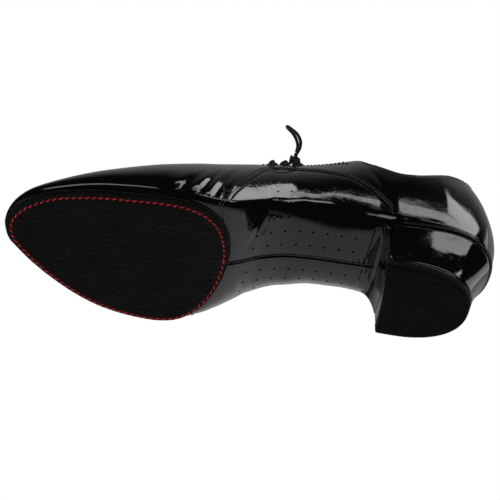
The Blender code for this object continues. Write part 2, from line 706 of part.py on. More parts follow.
def heel_ring(height, inset, count=28):
    """The heel's outline at a share of its height: round behind, with a hollow breast in front."""
    tip_w, tip_back = HEEL_TIP_WIDTH / 2, -HEEL_TIP_LENGTH / 2
    seat_w, seat_back = 0.0306 * GRADE_Y, SEAT_BACK + 0.0006
    hollow = np.sin(np.pi * height) * 0.0012
    wide = tip_w + (seat_w - tip_w) * height**1.2 - hollow - inset
    back = tip_back + (seat_back - tip_back) * height**1.1 + hollow * 1.5 + inset
    front = HEEL_TIP_LENGTH / 2 - 0.0001 - 0.0026 * height - hollow * 0.6 - inset
    skew = BREAST_SKEW * (1 - height)
    widest = 0.016 - 0.02 * height
    breast_w = wide * (1 - 0.07 * height)
    turn = np.linspace(np.pi / 2, -np.pi / 2, count - 6)
    power = 2 / 2.3
    x = widest - (widest - back) * np.abs(np.cos(turn)) ** power
    y = wide * np.sign(np.sin(turn)) * np.abs(np.sin(turn)) ** power
    share = np.array([0.35, 0.75, 1.0])
    side_y = wide + (breast_w - wide) * share**2
    lateral = np.stack([widest + (front - skew - widest) * share, -side_y], 1)
    medial = np.stack([widest + (front + skew - widest) * share, side_y], 1)[::-1]
    across = np.linspace(-1, 1, 7)[1:-1]
    dish = 0.0014 * (1 - across**2)
    breast = np.stack([front + skew * across - dish, across * breast_w], 1)
    return np.concatenate([np.stack([x, y], 1), lateral, breast, medial])


def heel_stack(low, high, inset, rows):
    levels = np.linspace(low, high, rows)
    rings = []
    for z in levels:
        ring = heel_ring(np.clip(z / HEEL_HEIGHT, 0, 1), inset)
        rings.append(np.column_stack([ring, np.full(len(ring), z)]))
    return np.array(rings)


def make_heel():
    floor = TOP_PIECE + GAP
    rings = heel_stack(floor, HEEL_HEIGHT, HEEL_COVER + GAP, 4)
    block = lofted("heel_block", rings, PLASTIC)
    slab("heel_cover", heel_stack(floor, HEEL_HEIGHT, 0, 4),
         heel_stack(floor, HEEL_HEIGHT, HEEL_COVER, 4), PATENT, loop=True)
    piece = heel_stack(0, TOP_PIECE, 0.0002, 3)
    piece[0] = heel_stack(0, TOP_PIECE, 0.0008, 3)[0]
    lofted("heel_top_piece", piece, SUEDE)
    board_top = heights(station(0))[0] + LEATHER + LINING + STIFFENER + 5 * GAP + INSOLE
    nail_top = board_top + NAIL_HEAD - GAP
    board = bpy.data.objects["heel_seat_board"]
    tip = 0.016
    for index, (x, y) in enumerate(NAILS):
        name = f"heel_nail_{index + 1}"
        top = Vector((x, y, nail_top))
        bottom = Vector((x, y, tip))
        finish(name, cylinder(name, NAIL_RADIUS, bottom, top, 8), STEEL)
        hole = cutter(f"nail_hole_{index + 1}", cylinder("nail_hole", NAIL_RADIUS + GAP,
                      bottom - Vector((0, 0, 0.0005)), top + Vector((0, 0, 0.002)), 8))
        cut(block, hole)
        cut(board, hole)
    shank = cylinder("heel_screw", SCREW_RADIUS, Vector((0, 0, 0.012)), Vector((0, 0, nail_top)))
    finish("heel_screw", shank, STEEL)
    hole = cutter("screw_hole", cylinder("screw_hole", SCREW_RADIUS + GAP, Vector((0, 0, 0.0115)),
                  Vector((0, 0, board_top + 0.003))))
    cut(block, hole)
    cut(board, hole)


def lofted(name, rings, mat):
    """A closed solid through rings of points, with flat ends."""
    rows, columns = rings.shape[:2]
    faces = [(r * columns + c, r * columns + (c + 1) % columns,
              (r + 1) * columns + (c + 1) % columns, (r + 1) * columns + c)
             for r in range(rows - 1) for c in range(columns)]
    faces.append(tuple(range(columns))[::-1])
    faces.append(tuple((rows - 1) * columns + c for c in range(columns)))
    return finish(name, closed_mesh(name, rings.reshape(-1, 3), faces), mat)


# Lace


def on_form(points):
    """Points given as (mm, degrees from the medial side over the ridge, mm above the leather)."""
    found = []
    for x, angle, rise in points:
        side = 1 if angle <= 90 else -1
        at, normal, _ = frame_at(x, angle if side > 0 else 180 - angle, side)
        found.append(at + normal * rise * MM)
    return [tuple(p) for p in found]


def strand(start, end, middle):
    """From one eyelet down, under its facing, over the gap and the other facing to the next."""
    (x, angle), (to_x, to_angle) = start, end
    turn = 1 if to_angle > angle else -1
    rise = LACE / MM / 2 + 0.5
    under = -(INSIDE / MM + LACE / MM / 2)
    return [
        (x, angle, rise + 1.1),
        (x, angle, -1.5),
        (x, angle, under + 1.2),
        (x + (to_x - x) * 0.06, angle + turn * 3.5, under),
        (x + (to_x - x) * 0.16, angle + turn * 10, under),
        (x + (to_x - x) * 0.36, 90 - turn * 5, (under + middle) / 2 + 0.4),
        (x + (to_x - x) * 0.5, 90, middle + 0.6),
        (x + (to_x - x) * 0.72, 90 + turn * 11, rise + 0.4),
        (x + (to_x - x) * 0.84, to_angle - turn * 6, rise + 1.2),
    ]


def make_lace():
    """One lace, crossed over the tongue, tied in a bow on the upper pair of eyelets."""
    low, high = EYELET_ANGLE, 180 - EYELET_ANGLE
    first, second, third = LACE_PLACES
    rise = LACE / MM / 2 + 0.5
    lower, upper = -3.4, -0.7
    one = strand((third, low), (second, high), lower) + strand((second, high), (first, low), lower)
    two = strand((third, high), (second, low), upper) + strand((second, low), (first, high), upper)
    under = -(INSIDE / MM + LACE / MM / 2)
    one += [(first, low, rise + 1.1), (first, low, -1.5), (first, low, under + 1.2),
            (first + 0.3, low + 4, under), (first + 0.2, low + 12, under + 0.6),
            (first, low + 15, -1.6), (first - 0.4, low + 14, 1.5)]
    two += [(first, high, rise + 1.1), (first, high, -1.5), (first, high, under + 1.2),
            (first + 0.2, high - 4, under), (first + 0.2, high - 12, under + 0.4),
            (first, high - 24, -0.6), (first - 0.6, high - 31, 2.2)]
    bar = [(third + 1, low + 6, rise + 1.1), (third + 1.4, low + 14, rise - 0.4),
           (third + 1.4, 90, -0.4),
           (third + 1.4, high - 14, rise - 0.4), (third + 1, high - 6, rise + 1.1)]
    route = on_form(one[::-1] + bar + two)
    tube("lace", smooth_path(route, 84), LACE / 2, CORD, resolution=1)
    knot = Vector(on_form([KNOT])[0])
    ball = bpy.data.meshes.new("lace_knot")
    work = bmesh.new()
    bmesh.ops.create_uvsphere(work, u_segments=10, v_segments=7, radius=1)
    bmesh.ops.scale(work, vec=KNOT_SIZE, verts=work.verts)
    bmesh.ops.translate(work, vec=knot, verts=work.verts)
    work.to_mesh(ball)
    work.free()
    finish("lace_knot", ball, CORD)
    for name, route in (("lace_loop_medial", MEDIAL_LOOP), ("lace_loop_lateral", LATERAL_LOOP)):
        tube(name, smooth_path([knot + Vector(p) * MM for p in route], 20), LACE / 2, CORD, 1)
    for name, route in (("front", FRONT_END), ("rear", REAR_END)):
        points = smooth_path(on_form(route), 27)
        tube(f"lace_end_{name}", points[:21], LACE / 2, CORD, 1)
        tip = [Vector(p) for p in points[21:]]
        tip[0] += (tip[1] - tip[0]).normalized() * GAP
        tube(f"lace_tip_{name}", tip, LACE / 2 + 0.0002, ENAMEL)


# Places for the bow: the knot and the ends on the form, the loops in mm from the knot
KNOT = (79, 77.5, 6.1)
KNOT_SIZE = (0.0036, 0.0032, 0.0028)
MEDIAL_LOOP = [(-0.7, 4.1, 1.5), (-1.3, 9.2, 1.4), (-0.5, 13.8, 1.6), (2.4, 17.5, 2.9), (6.4, 18.8, 5.4),
               (8.7, 17.8, 8.7), (8.1, 15.4, 10.8), (4.5, 12.4, 11.1), (0.8, 8.8, 9.3), (-0.8, 5.4, 6.6),
               (-0.4, 2.6, 4.3)]
LATERAL_LOOP = [(1.6, -4.2, 1.6), (5.4, -9.5, 4.2), (7.6, -16.5, 4.8), (6.4, -23.5, 2.2),
                (2.4, -26.8, 0), (-1.8, -24.5, 0.6), (-4, -18, 3.2), (-3.4, -10.5, 4.0),
                (-1.6, -4.4, 2.4)]
FRONT_END = [(83, 80, 4.6), (88.4, 88, 4.0), (95.6, 96, 3.6), (102.6, 104, 2.5), (110, 112, 1.7),
             (117, 120, 1.6), (123, 129, 1.6), (127, 139, 1.6)]
REAR_END = [(75.4, 82, 5.2), (73, 92, 3.6), (72.4, 103, 2.5), (73, 115, 1.9), (75, 127, 1.8),
            (77.5, 138, 1.8), (80, 148, 1.8)]

make_vamp()
make_toe_puff()
make_quarters()
make_counter()
make_eyelets()
make_arch_panels()
make_arch_seam()
make_binding()
make_tongue()
make_outsole()
make_footbed()
make_heel()
make_lace()
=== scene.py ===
# %% [markdown]
# # A black patent dance shoe, modelled so that it can be seen from every side
#
# The shoe has a lacquered leather upper, an unlined-looking soft waist with small air holes, a suede
# patch under the ball of the foot and a covered block heel. The imported model of the shoe is loaded
# as a frame: it says where every piece sits. Everything that can be seen is then built again over
# that frame with finer surfaces and real finishes.

# %% Load the frame
import math

import bpy
import bmesh
import numpy as np
from mathutils import Matrix, Vector


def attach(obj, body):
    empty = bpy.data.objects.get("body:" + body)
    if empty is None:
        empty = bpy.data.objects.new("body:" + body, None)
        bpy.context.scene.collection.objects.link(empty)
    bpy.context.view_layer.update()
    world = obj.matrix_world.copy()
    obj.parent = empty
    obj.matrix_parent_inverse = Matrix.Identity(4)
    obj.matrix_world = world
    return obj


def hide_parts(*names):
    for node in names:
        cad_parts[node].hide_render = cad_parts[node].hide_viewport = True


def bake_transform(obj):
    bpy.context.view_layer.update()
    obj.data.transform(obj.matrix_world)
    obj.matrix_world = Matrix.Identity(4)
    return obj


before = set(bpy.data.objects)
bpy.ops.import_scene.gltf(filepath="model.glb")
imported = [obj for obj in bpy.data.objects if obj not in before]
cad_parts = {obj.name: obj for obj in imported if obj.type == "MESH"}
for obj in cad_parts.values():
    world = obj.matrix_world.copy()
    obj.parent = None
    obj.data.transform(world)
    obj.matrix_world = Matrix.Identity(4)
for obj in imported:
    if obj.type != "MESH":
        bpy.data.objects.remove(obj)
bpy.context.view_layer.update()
MM = 0.001

# %% [markdown]
# ## The camera
#
# The shoe is shown from below and from its arch side, with a long lens from a metre and a half away,
# so there is little perspective. A camera looks along its own -Z axis, so its rotation matrix is
# simply the three directions right, up and backwards, put side by side as columns.

# %% Place the camera
def new_object(name, data):
    """An object in the scene for a mesh, a light or a camera."""
    obj = bpy.data.objects.new(name, data)
    bpy.context.scene.collection.objects.link(obj)
    return obj


AZIMUTH, ELEVATION = math.radians(167), math.radians(-51)
DISTANCE = 1.5
LENS = 180.4
back_way = Vector((math.sin(AZIMUTH) * math.cos(ELEVATION),
                   -math.cos(AZIMUTH) * math.cos(ELEVATION), math.sin(ELEVATION)))
right_way = Vector((math.cos(AZIMUTH), math.sin(AZIMUTH), 0))
up_way = back_way.cross(right_way)
aim = Vector((0.1, 0, 0.03)) - right_way * 0.00619 - up_way * 0.00242
camera_data = bpy.data.cameras.new("camera")
camera_data.lens, camera_data.sensor_width = LENS, 36
camera = new_object("camera", camera_data)
camera.matrix_world = Matrix.Translation(aim + back_way * DISTANCE) @ Matrix(
    (right_way, up_way, back_way)).transposed().to_4x4()
bpy.context.scene.camera = camera
print("camera at", [round(v, 3) for v in camera.location])

# %% [markdown]
# ## The form
#
# A shoemaker stretches the leather over a last, a solid foot shape, and every layer keeps that
# shape. Here the last is a function: `skin` takes a station along the shoe and an angle round it,
# and gives the point on the leather's face, or any depth inside it. Rails give its width and its
# heights along the length, and the section between them is a power of a cosine and a sine, which
# can be as round as an instep or as square as the edge of a sole.

# %% Directions and distances
TINY = 1e-12


def unit(vectors):
    """The same directions with a length of one."""
    return vectors / (np.linalg.norm(vectors, axis=-1, keepdims=True) + TINY)


def distances(path):
    """How far each point of a path is from its start, along the path."""
    return np.concatenate([[0], np.cumsum(np.linalg.norm(np.diff(path, axis=0), axis=1))])


# %% Curves through given values
FORM_LENGTH, SEAT_BACK = 0.2965, -0.043


def station(x_mm):
    """Share of a half turn for a place in mm, so that stations crowd at heel and toe."""
    share = (np.asarray(x_mm, float) * MM - SEAT_BACK) / FORM_LENGTH
    return np.arccos(1 - 2 * np.clip(share, 0, 1)) / np.pi


def place(f):
    """The place in mm of a station: the reverse of `station`."""
    return (SEAT_BACK + FORM_LENGTH * (1 - np.cos(np.pi * np.asarray(f))) / 2) / MM


def level_slopes(knots, values):
    """Slopes that never overshoot: level at highs and lows, a weighted mean elsewhere."""
    width, rise = np.diff(knots), np.diff(values) / np.diff(knots)
    before, after = 2 * width[1:] + width[:-1], width[1:] + 2 * width[:-1]
    same = rise[:-1] * rise[1:] > 0
    safe = np.where(same, rise[:-1], 1), np.where(same, rise[1:], 1)
    inner = np.where(same, (before + after) / (before / safe[0] + after / safe[1]), 0)
    return np.concatenate([rise[:1], inner, rise[-1:]])


def curve(knots, values, level=False):
    """Cubic pieces through the values, each with the slopes of its two ends."""
    knots, values = np.asarray(knots, float), np.asarray(values, float)
    slope = level_slopes(knots, values) if level else np.gradient(values, knots)

    def at(t):
        t = np.clip(np.asarray(t, float), knots[0], knots[-1])
        i = np.clip(np.searchsorted(knots, t, side="right") - 1, 0, len(knots) - 2)
        width = knots[i + 1] - knots[i]
        u = (t - knots[i]) / width
        low = (1 + 2 * u) * (1 - u) ** 2 * values[i] + u * (1 - u) ** 2 * width * slope[i]
        high = u**2 * (3 - 2 * u) * values[i + 1] - u**2 * (1 - u) * width * slope[i + 1]
        return low + high

    return at


def rail(points):
    """A size in mm along the form, as a function of the station."""
    return curve(station([p[0] for p in points]), [p[1] for p in points], level=True)


print("stations run from 0 at the heel to 1 at the toe; the middle is at", place(0.5).round(1), "mm")

# %% The rails of the form
# Rails: place in mm from the heel's middle, size in mm
MEDIAL = rail([(-43, 0), (-38, 15.5), (-33.7, 21.4), (-22, 27.5), (-6, 31), (8, 31.5), (22, 30.4),
               (35, 28.8), (60, 27.6), (80, 29), (98, 33.2), (118, 39.6), (132, 43.6), (150, 46.4),
               (165, 46.8), (180, 45.8), (200, 42.6), (215, 38.2), (228, 32.6), (241.5, 25),
               (249, 17.4), (253.5, 3)])
LATERAL = rail([(-43, 0), (-38, 15.5), (-33.7, 21.4), (-22, 27.5), (-6, 31), (8, 31.7), (22, 32),
                (35, 33), (60, 36), (80, 38), (98, 40.4), (118, 43.6), (132, 46), (150, 48),
                (165, 48), (180, 46.2), (200, 40.4), (215, 33.6), (228, 26), (241.5, 17.2),
                (249, 10), (253.5, -3)])
RIDGE_Y = rail([(-43, 0), (10, 1), (60, 5), (110, 6), (150, 5), (200, 4), (235, 4), (253.5, 3)])
KEEL_Y = rail([(-43, 0), (0, -1), (30, -4), (80, -5), (118, -3), (160, 0), (210, 2), (253.5, 3)])
RIDGE_Z = rail([(-43, 134), (-20, 134), (0, 132), (20, 126), (38, 118.5), (50, 112.5), (74, 101),
                (100, 90), (138, 71.4), (169, 56.4), (200, 40.8), (224, 28.8), (242.5, 19.6),
                (249, 15.4), (253.5, 9.6)])
SOLE_Z = rail([(-43, 38.5), (18, 38.5), (26, 34.6), (40, 33.2), (60, 32.8), (80, 30.8), (98, 24),
               (110, 16), (118, 10.8), (126, 6.8), (132, 4.9), (140, 3.3), (146, 2.9), (186, 2.9),
               (200, 3.7), (215, 5), (230, 6.8), (253.5, 9.6)])
SIDE_Z = rail([(-43, 43.5), (10, 43.5), (22, 45), (32, 48), (45, 50.6), (60, 51.2), (80, 46.7),
               (98, 37.4), (110, 27.4), (118, 20.6), (126, 15), (132, 12.2), (140, 10),
               (150, 8.9), (186, 8.7), (200, 9.4), (215, 10.4), (230, 11.6), (242.5, 12),
               (249, 11.4), (253.5, 9.6)])
UPPER_SPREAD = rail([(-43, 0.66), (20, 0.72), (70, 0.86), (130, 0.84), (200, 0.8), (253.5, 0.8)])
UPPER_RISE = rail([(-43, 1), (40, 1), (100, 0.95), (160, 0.9), (253.5, 0.9)])
UNDER_SPREAD = rail([(-43, 0.22), (14, 0.22), (30, 0.7), (45, 0.9), (98, 0.85), (118, 0.6),
                     (134, 0.34), (150, 0.24), (253.5, 0.24)])
# The back's lean: height in mm, place in mm
BACK_X = curve([38.5, 58, 84, 108, 134], [-43, -47.2, -45.6, -38, -27])
print("widest at the ball:", float(MEDIAL(station(165)) + LATERAL(station(165))), "mm")

# %% A point of the form
def heights(f):
    """The underside, the widest line and the ridge at a station, in metres."""
    return SOLE_Z(f) * MM, SIDE_Z(f) * MM, RIDGE_Z(f) * MM


def skin(f, phi, side, inset=0.0):
    """phi is 0 on the widest line, a right angle on the ridge and minus that under the foot.
    Width falls with a power of its cosine and height rises with a power of its sine."""
    f, phi, side, inset = np.broadcast_arrays(f, phi, side, np.asarray(inset, float))
    under, widest, ridge = heights(f)
    upper = phi >= 0
    ridge_y = RIDGE_Y(f) * MM
    edge = side * np.where(side > 0, MEDIAL(f), LATERAL(f)) * MM
    edge = edge - side * inset * (1 - np.exp(-np.abs(edge - ridge_y) / 0.008))
    centre = np.where(upper, ridge_y, KEEL_Y(f) * MM)
    cosine, sine = np.clip(np.cos(phi), 0, 1), np.abs(np.sin(phi))
    y = centre + (edge - centre) * cosine ** np.where(upper, UPPER_SPREAD(f), UNDER_SPREAD(f))
    tall, deep = ridge - widest, widest - under
    above = (tall - inset * (1 - np.exp(-tall / 0.006))) * sine ** UPPER_RISE(f)
    below = (deep - inset * (1 - np.exp(-deep / 0.0012))) * sine
    z = widest + np.where(upper, above, -below)
    share = (1 - np.cos(np.pi * f)) / 2
    x = SEAT_BACK + inset + (FORM_LENGTH - 2 * inset) * share
    x = x + (BACK_X(z / MM) * MM - SEAT_BACK) * (1 - share) ** 3
    return np.stack([x, y, z], -1)


def run(points, count):
    """Evenly spaced (mm, degrees) pairs on a smooth line through the given ones."""
    points = np.asarray(points, float)
    f = station(points[:, 0])
    step = np.hypot(np.diff(f) * 400, np.diff(points[:, 1]) * 0.8)
    along = np.concatenate([[0], np.cumsum(step)])
    at = np.linspace(0, along[-1], count)
    return place(curve(along, f)(at)), curve(along, points[:, 1])(at)


def ruled(low, high, steps):
    """(station, angle) grids between two runs, at the given shares of the way."""
    t = np.asarray(steps, float)[:, None]
    start, end = station(low[0]), station(high[0])
    return start + (end - start) * t, low[1] + (high[1] - low[1]) * t


STEP = 1e-4  # a small step in station or angle, to find slopes with


def moved(f, phi, side, across):
    """Stations and angles `across` metres to the left of a line drawn on the form. A small step
    along each of the two directions tells how far they must go."""
    f, phi = np.asarray(f, float), np.asarray(phi, float)
    for part in (across / 2, across / 2):
        at = skin(f, phi, side)
        along = np.gradient(at, axis=0)
        by_f = (skin(f + STEP, phi, side) - at) / STEP
        by_phi = (skin(f, phi + STEP, side) - at) / STEP
        normal = np.cross(by_f, by_phi)
        left = unit(np.cross(normal, along) * side)
        a, b, c = (by_f**2).sum(-1), (by_f * by_phi).sum(-1), (by_phi**2).sum(-1)
        u, v = (by_f * left).sum(-1) * part, (by_phi * left).sum(-1) * part
        det = a * c - b * b + 1e-15
        f, phi = f + (u * c - v * b) / det, phi + (v * a - u * b) / det
    return f, phi


def outward(f, phi, side, inset=0.0):
    """Points of the form and the way out of the leather there."""
    at = skin(f, phi, side, inset)
    normal = unit(np.cross(skin(f + STEP, phi, side, inset) - at, skin(f, phi + STEP, side, inset) - at))
    outside = at - np.stack([at[..., 0], 0 * at[..., 0], 0 * at[..., 0] + 0.05], -1)
    turned = np.sign((normal * outside).sum(-1, keepdims=True))
    return at, normal * turned


print("instep height:", round(float(skin(station(60), math.pi / 2, 1)[2]), 4), "m")

# %% [markdown]
# ## From grids of points to meshes
#
# Most pieces here are slabs: a grid of points on the outside, the same grid a little further in, and
# a wall round the rim. The faces follow from the numbering of the points, so they are worked out as
# whole arrays. A closed mesh whose volume comes out negative has its faces the wrong way round.

# %% Mesh builders
def quads(rows, columns, first=0, loop=False):
    """Faces of a grid numbered row by row; with `loop` the columns close on themselves."""
    r = np.arange(rows - 1)[:, None]
    c = np.arange(columns if loop else columns - 1)[None, :]
    a, b = first + r * columns + c, first + r * columns + (c + 1) % columns
    return np.stack([a, b, b + columns, a + columns], -1).reshape(-1, 4)


def wall(chain, count):
    """The wall from a chain of the first grid's points to the same chain in the second."""
    a, b = chain[:-1], chain[1:]
    return np.stack([b, a, a + count, b + count], -1)


def piece(name, points, faces, finish, flat=None, weld=2e-6, sharp=50):
    """A finished mesh object. `flat` is each point's place on the cut-out pattern, in mm. Points
    closer than `weld` metres are joined, and edges sharper than `sharp` degrees stay crisp."""
    mesh = bpy.data.meshes.new(name)
    faces = faces if isinstance(faces, list) else faces.tolist()
    mesh.from_pydata(np.asarray(points).reshape(-1, 3).tolist(), [], faces)
    if flat is not None:
        corner = np.empty(len(mesh.loops), int)
        mesh.loops.foreach_get("vertex_index", corner)
        layer = mesh.uv_layers.new(name="pattern")
        layer.data.foreach_set("uv", np.asarray(flat).reshape(-1, 2)[corner].ravel())
    work = bmesh.new()
    work.from_mesh(mesh)
    if weld:
        bmesh.ops.remove_doubles(work, verts=work.verts, dist=weld)
        bmesh.ops.dissolve_degenerate(work, edges=work.edges, dist=1e-7)
    if work.calc_volume(signed=True) < 0:
        bmesh.ops.reverse_faces(work, faces=work.faces)
    work.to_mesh(mesh)
    work.free()
    mesh.shade_smooth()
    if sharp:
        mesh.set_sharp_from_angle(angle=math.radians(sharp))
    mesh.materials.append(finish)
    return new_object(name, mesh)


def slab(name, outer, inner, finish, flat=None, loop=False, weld=2e-6):
    """Outer grid, inner grid and the wall round their rim."""
    rows, columns = outer.shape[:2]
    count = rows * columns
    number = np.arange(count).reshape(rows, columns)
    faces = [quads(rows, columns, 0, loop), quads(rows, columns, count, loop)[:, ::-1]]
    ring = (lambda line: np.append(line, line[0])) if loop else (lambda line: line)
    faces += [wall(ring(number[0]), count), wall(ring(number[-1])[::-1], count)]
    if not loop:
        faces += [wall(number[::-1, 0], count), wall(number[:, -1], count)]
    both = None if flat is None else np.concatenate([flat.reshape(-1, 2)] * 2)
    points = np.concatenate([outer.reshape(-1, 3), inner.reshape(-1, 3)])
    return piece(name, points, np.concatenate(faces), finish, both, weld)


def rounded(obj, width=0.0003, segments=2):
    """Takes the sharpness off cut edges."""
    bevel = obj.modifiers.new("edge", "BEVEL")
    bevel.width, bevel.segments = width, segments
    bevel.limit_method, bevel.angle_limit = "ANGLE", math.radians(55)
    return obj


def frames_along(path):
    """Tangents and two cross directions that turn as little as they can along the path."""
    path = np.asarray(path, float)
    tangent = unit(np.gradient(path, axis=0))
    side = np.empty_like(path)
    start = np.cross(tangent[0], (0, 0, 1)) if abs(tangent[0, 2]) < 0.9 else np.cross(tangent[0], (0, 1, 0))
    side[0] = start / np.linalg.norm(start)
    for i in range(1, len(path)):
        kept = side[i - 1] - tangent[i] * (side[i - 1] @ tangent[i])
        side[i] = kept / np.linalg.norm(kept)
    return tangent, side, np.cross(tangent, side)


def tube(name, path, radius, finish, sides=14, squash=1.0, closed=False):
    """A cord: circles across a path, with rounded ends. `flat` runs round it and along it."""
    path = np.asarray(path, float)
    _, one, two = frames_along(path)
    width = np.broadcast_to(radius, (len(path),)).astype(float).copy()
    step = distances(path)
    if not closed:
        end = np.minimum(step, step[-1] - step)
        width *= np.sqrt(np.clip(1 - (1 - np.clip(end / width, 0, 1)) ** 2, 0.01, 1))
    turn = np.linspace(0, 2 * np.pi, sides, endpoint=False)
    ring = one[:, None] * np.cos(turn)[None, :, None] + two[:, None] * np.sin(turn)[None, :, None] * squash
    points = path[:, None] + ring * width[:, None, None]
    flat = np.stack(np.broadcast_arrays(turn[None] / (2 * np.pi), step[:, None] / MM), -1)
    faces = quads(len(path), sides, 0, True)
    number = np.arange(len(path) * sides).reshape(len(path), sides)
    caps = [tuple(number[0, ::-1]), tuple(number[-1])]
    mesh_faces = faces.tolist() + [list(map(int, cap)) for cap in caps]
    return piece(name, points, mesh_faces, finish, flat, weld=0, sharp=None)


def smooth_path(points, count):
    """Evenly spaced points on a smooth curve through the given ones."""
    points = np.asarray(points, float)
    along = distances(points)
    at = np.linspace(0, along[-1], count)
    return np.stack([curve(along, points[:, i])(at) for i in range(3)], 1)


# %% [markdown]
# ## Where each piece hangs
#
# The shoe has no sole under the waist, so it folds there, and it bends at the ball. A piece that
# crosses one of these places is only fixed where it stands; everything else hangs on one body.

# %% Fixing in place and riding
def at_the_ball(obj):
    """For a piece that crosses the ball: only fixes it where it stands."""
    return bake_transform(obj)


def at_the_waist(obj):
    """For a piece that crosses the waist: only fixes it where it stands."""
    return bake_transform(obj)


def fit(obj, hold, node=None):
    """Hangs a piece on a body, or passes it to a function; `node` is the solid that it replaces, which is
    hidden.
    """
    if callable(hold):
        hold(obj)
    else:
        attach(obj, hold)
    if node:
        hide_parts(node)


# %% [markdown]
# ## Finishes
#
# Patterns that several finishes share are node groups: slow waves in lacquer, the nap of suede, the
# weave of lining cloth, the twist of a thread and the specks that settle on a black surface.

# %% Node helpers
def add(tree, kind, inputs=None, **settings):
    """A node with its settings and inputs; an input that is a socket is linked."""
    made = tree.nodes.new(kind)
    for key, value in settings.items():
        setattr(made, key, value)
    for key, value in (inputs or {}).items():
        if isinstance(value, bpy.types.NodeSocket):
            tree.links.new(value, made.inputs[key])
        else:
            made.inputs[key].default_value = value
    return made


def sums(tree, operation, a, b=0.0):
    """One step of arithmetic on two values."""
    return add(tree, "ShaderNodeMath", {0: a, 1: b}, operation=operation).outputs[0]


def new_group(name, inputs, outputs):
    """A shader node group with float inputs and outputs, and a vector to lay the pattern on."""
    tree = bpy.data.node_groups.new(name, "ShaderNodeTree")
    tree.interface.new_socket("Vector", in_out="INPUT", socket_type="NodeSocketVector")
    for label, value in inputs:
        socket = tree.interface.new_socket(label, in_out="INPUT", socket_type="NodeSocketFloat")
        socket.default_value = value
    for label in outputs:
        tree.interface.new_socket(label, in_out="OUTPUT", socket_type="NodeSocketFloat")
    return tree, tree.nodes.new("NodeGroupInput").outputs, tree.nodes.new("NodeGroupOutput").inputs


def noise(tree, vector, scale, detail=2.0, rough=0.5):
    return add(tree, "ShaderNodeTexNoise", {"Vector": vector, "Scale": scale, "Detail": detail,
                                            "Roughness": rough}).outputs["Fac"]


def spread(tree, value, low, high):
    """Stretches the values from low to high over 0 to 1."""
    return add(tree, "ShaderNodeMapRange", {"Value": value, "From Min": low, "From Max": high},
               interpolation_type="SMOOTHSTEP").outputs[0]


# %% Group: slow waves in lacquered leather
WAVES, given, out = new_group("lacquer_waves", [("Size", 60.0), ("Fine", 0.12)], ["Height", "Scuff"])
broad = noise(WAVES, given["Vector"], given["Size"], 1.5, 0.4)
fine = noise(WAVES, given["Vector"], sums(WAVES, "MULTIPLY", given["Size"], 11.0), 2.0, 0.5)
WAVES.links.new(sums(WAVES, "ADD", broad, sums(WAVES, "MULTIPLY", fine, given["Fine"])), out["Height"])
scuff = noise(WAVES, given["Vector"], 240.0, 4.0, 0.6)
WAVES.links.new(spread(WAVES, scuff, 0.55, 0.75), out["Scuff"])

# %% Group: specks of dust
DUST, given, out = new_group("dust_specks", [("Amount", 0.3)], ["Mask"])
speck = add(DUST, "ShaderNodeTexVoronoi", {"Vector": given["Vector"], "Scale": 900.0},
            feature="F1").outputs["Distance"]
near = sums(DUST, "SUBTRACT", 1.0, spread(DUST, speck, 0.04, 0.13))
where = spread(DUST, noise(DUST, given["Vector"], 60.0, 3.0), 0.5, 0.66)
DUST.links.new(sums(DUST, "MULTIPLY", sums(DUST, "MULTIPLY", near, where), given["Amount"]), out["Mask"])

# %% Group: the nap of suede
NAP, given, out = new_group("suede_nap", [("Fibre", 1500.0), ("Brushed", 60.0)], ["Tone", "Height"])
stretched = add(NAP, "ShaderNodeMapping", {"Vector": given["Vector"], "Scale": (0.55, 1.0, 1.0)})
fibre = noise(NAP, stretched.outputs[0], given["Fibre"], 3.0, 0.65)
clump = noise(NAP, given["Vector"], sums(NAP, "MULTIPLY", given["Fibre"], 0.24), 3.0, 0.6)
brushed = noise(NAP, given["Vector"], given["Brushed"], 3.0, 0.55)
tone = sums(NAP, "ADD", sums(NAP, "MULTIPLY", spread(NAP, fibre, 0.3, 0.75), 0.45),
            sums(NAP, "MULTIPLY", spread(NAP, brushed, 0.3, 0.7), 0.55))
NAP.links.new(tone, out["Tone"])
NAP.links.new(sums(NAP, "ADD", fibre, sums(NAP, "MULTIPLY", clump, 1.4)), out["Height"])

# %% Group: plain weave, on a pattern in millimetres
WEAVE, given, out = new_group("plain_weave", [("Threads", 2.2)], ["Tone", "Height"])
scaled = add(WEAVE, "ShaderNodeVectorMath", {0: given["Vector"]}, operation="SCALE")
WEAVE.links.new(given["Threads"], scaled.inputs["Scale"])
parts = add(WEAVE, "ShaderNodeSeparateXYZ", {0: scaled.outputs[0]})
warp = sums(WEAVE, "SINE", sums(WEAVE, "MULTIPLY", parts.outputs[0], math.pi))
weft = sums(WEAVE, "SINE", sums(WEAVE, "MULTIPLY", parts.outputs[1], math.pi))
crossed = sums(WEAVE, "MULTIPLY", warp, weft)
over = sums(WEAVE, "ADD", sums(WEAVE, "MULTIPLY", sums(WEAVE, "ABSOLUTE", warp), 0.5),
            sums(WEAVE, "MULTIPLY", sums(WEAVE, "ABSOLUTE", weft), 0.5))
WEAVE.links.new(spread(WEAVE, crossed, -0.6, 0.6), out["Tone"])
WEAVE.links.new(sums(WEAVE, "ADD", over, sums(WEAVE, "MULTIPLY", crossed, 0.25)), out["Height"])

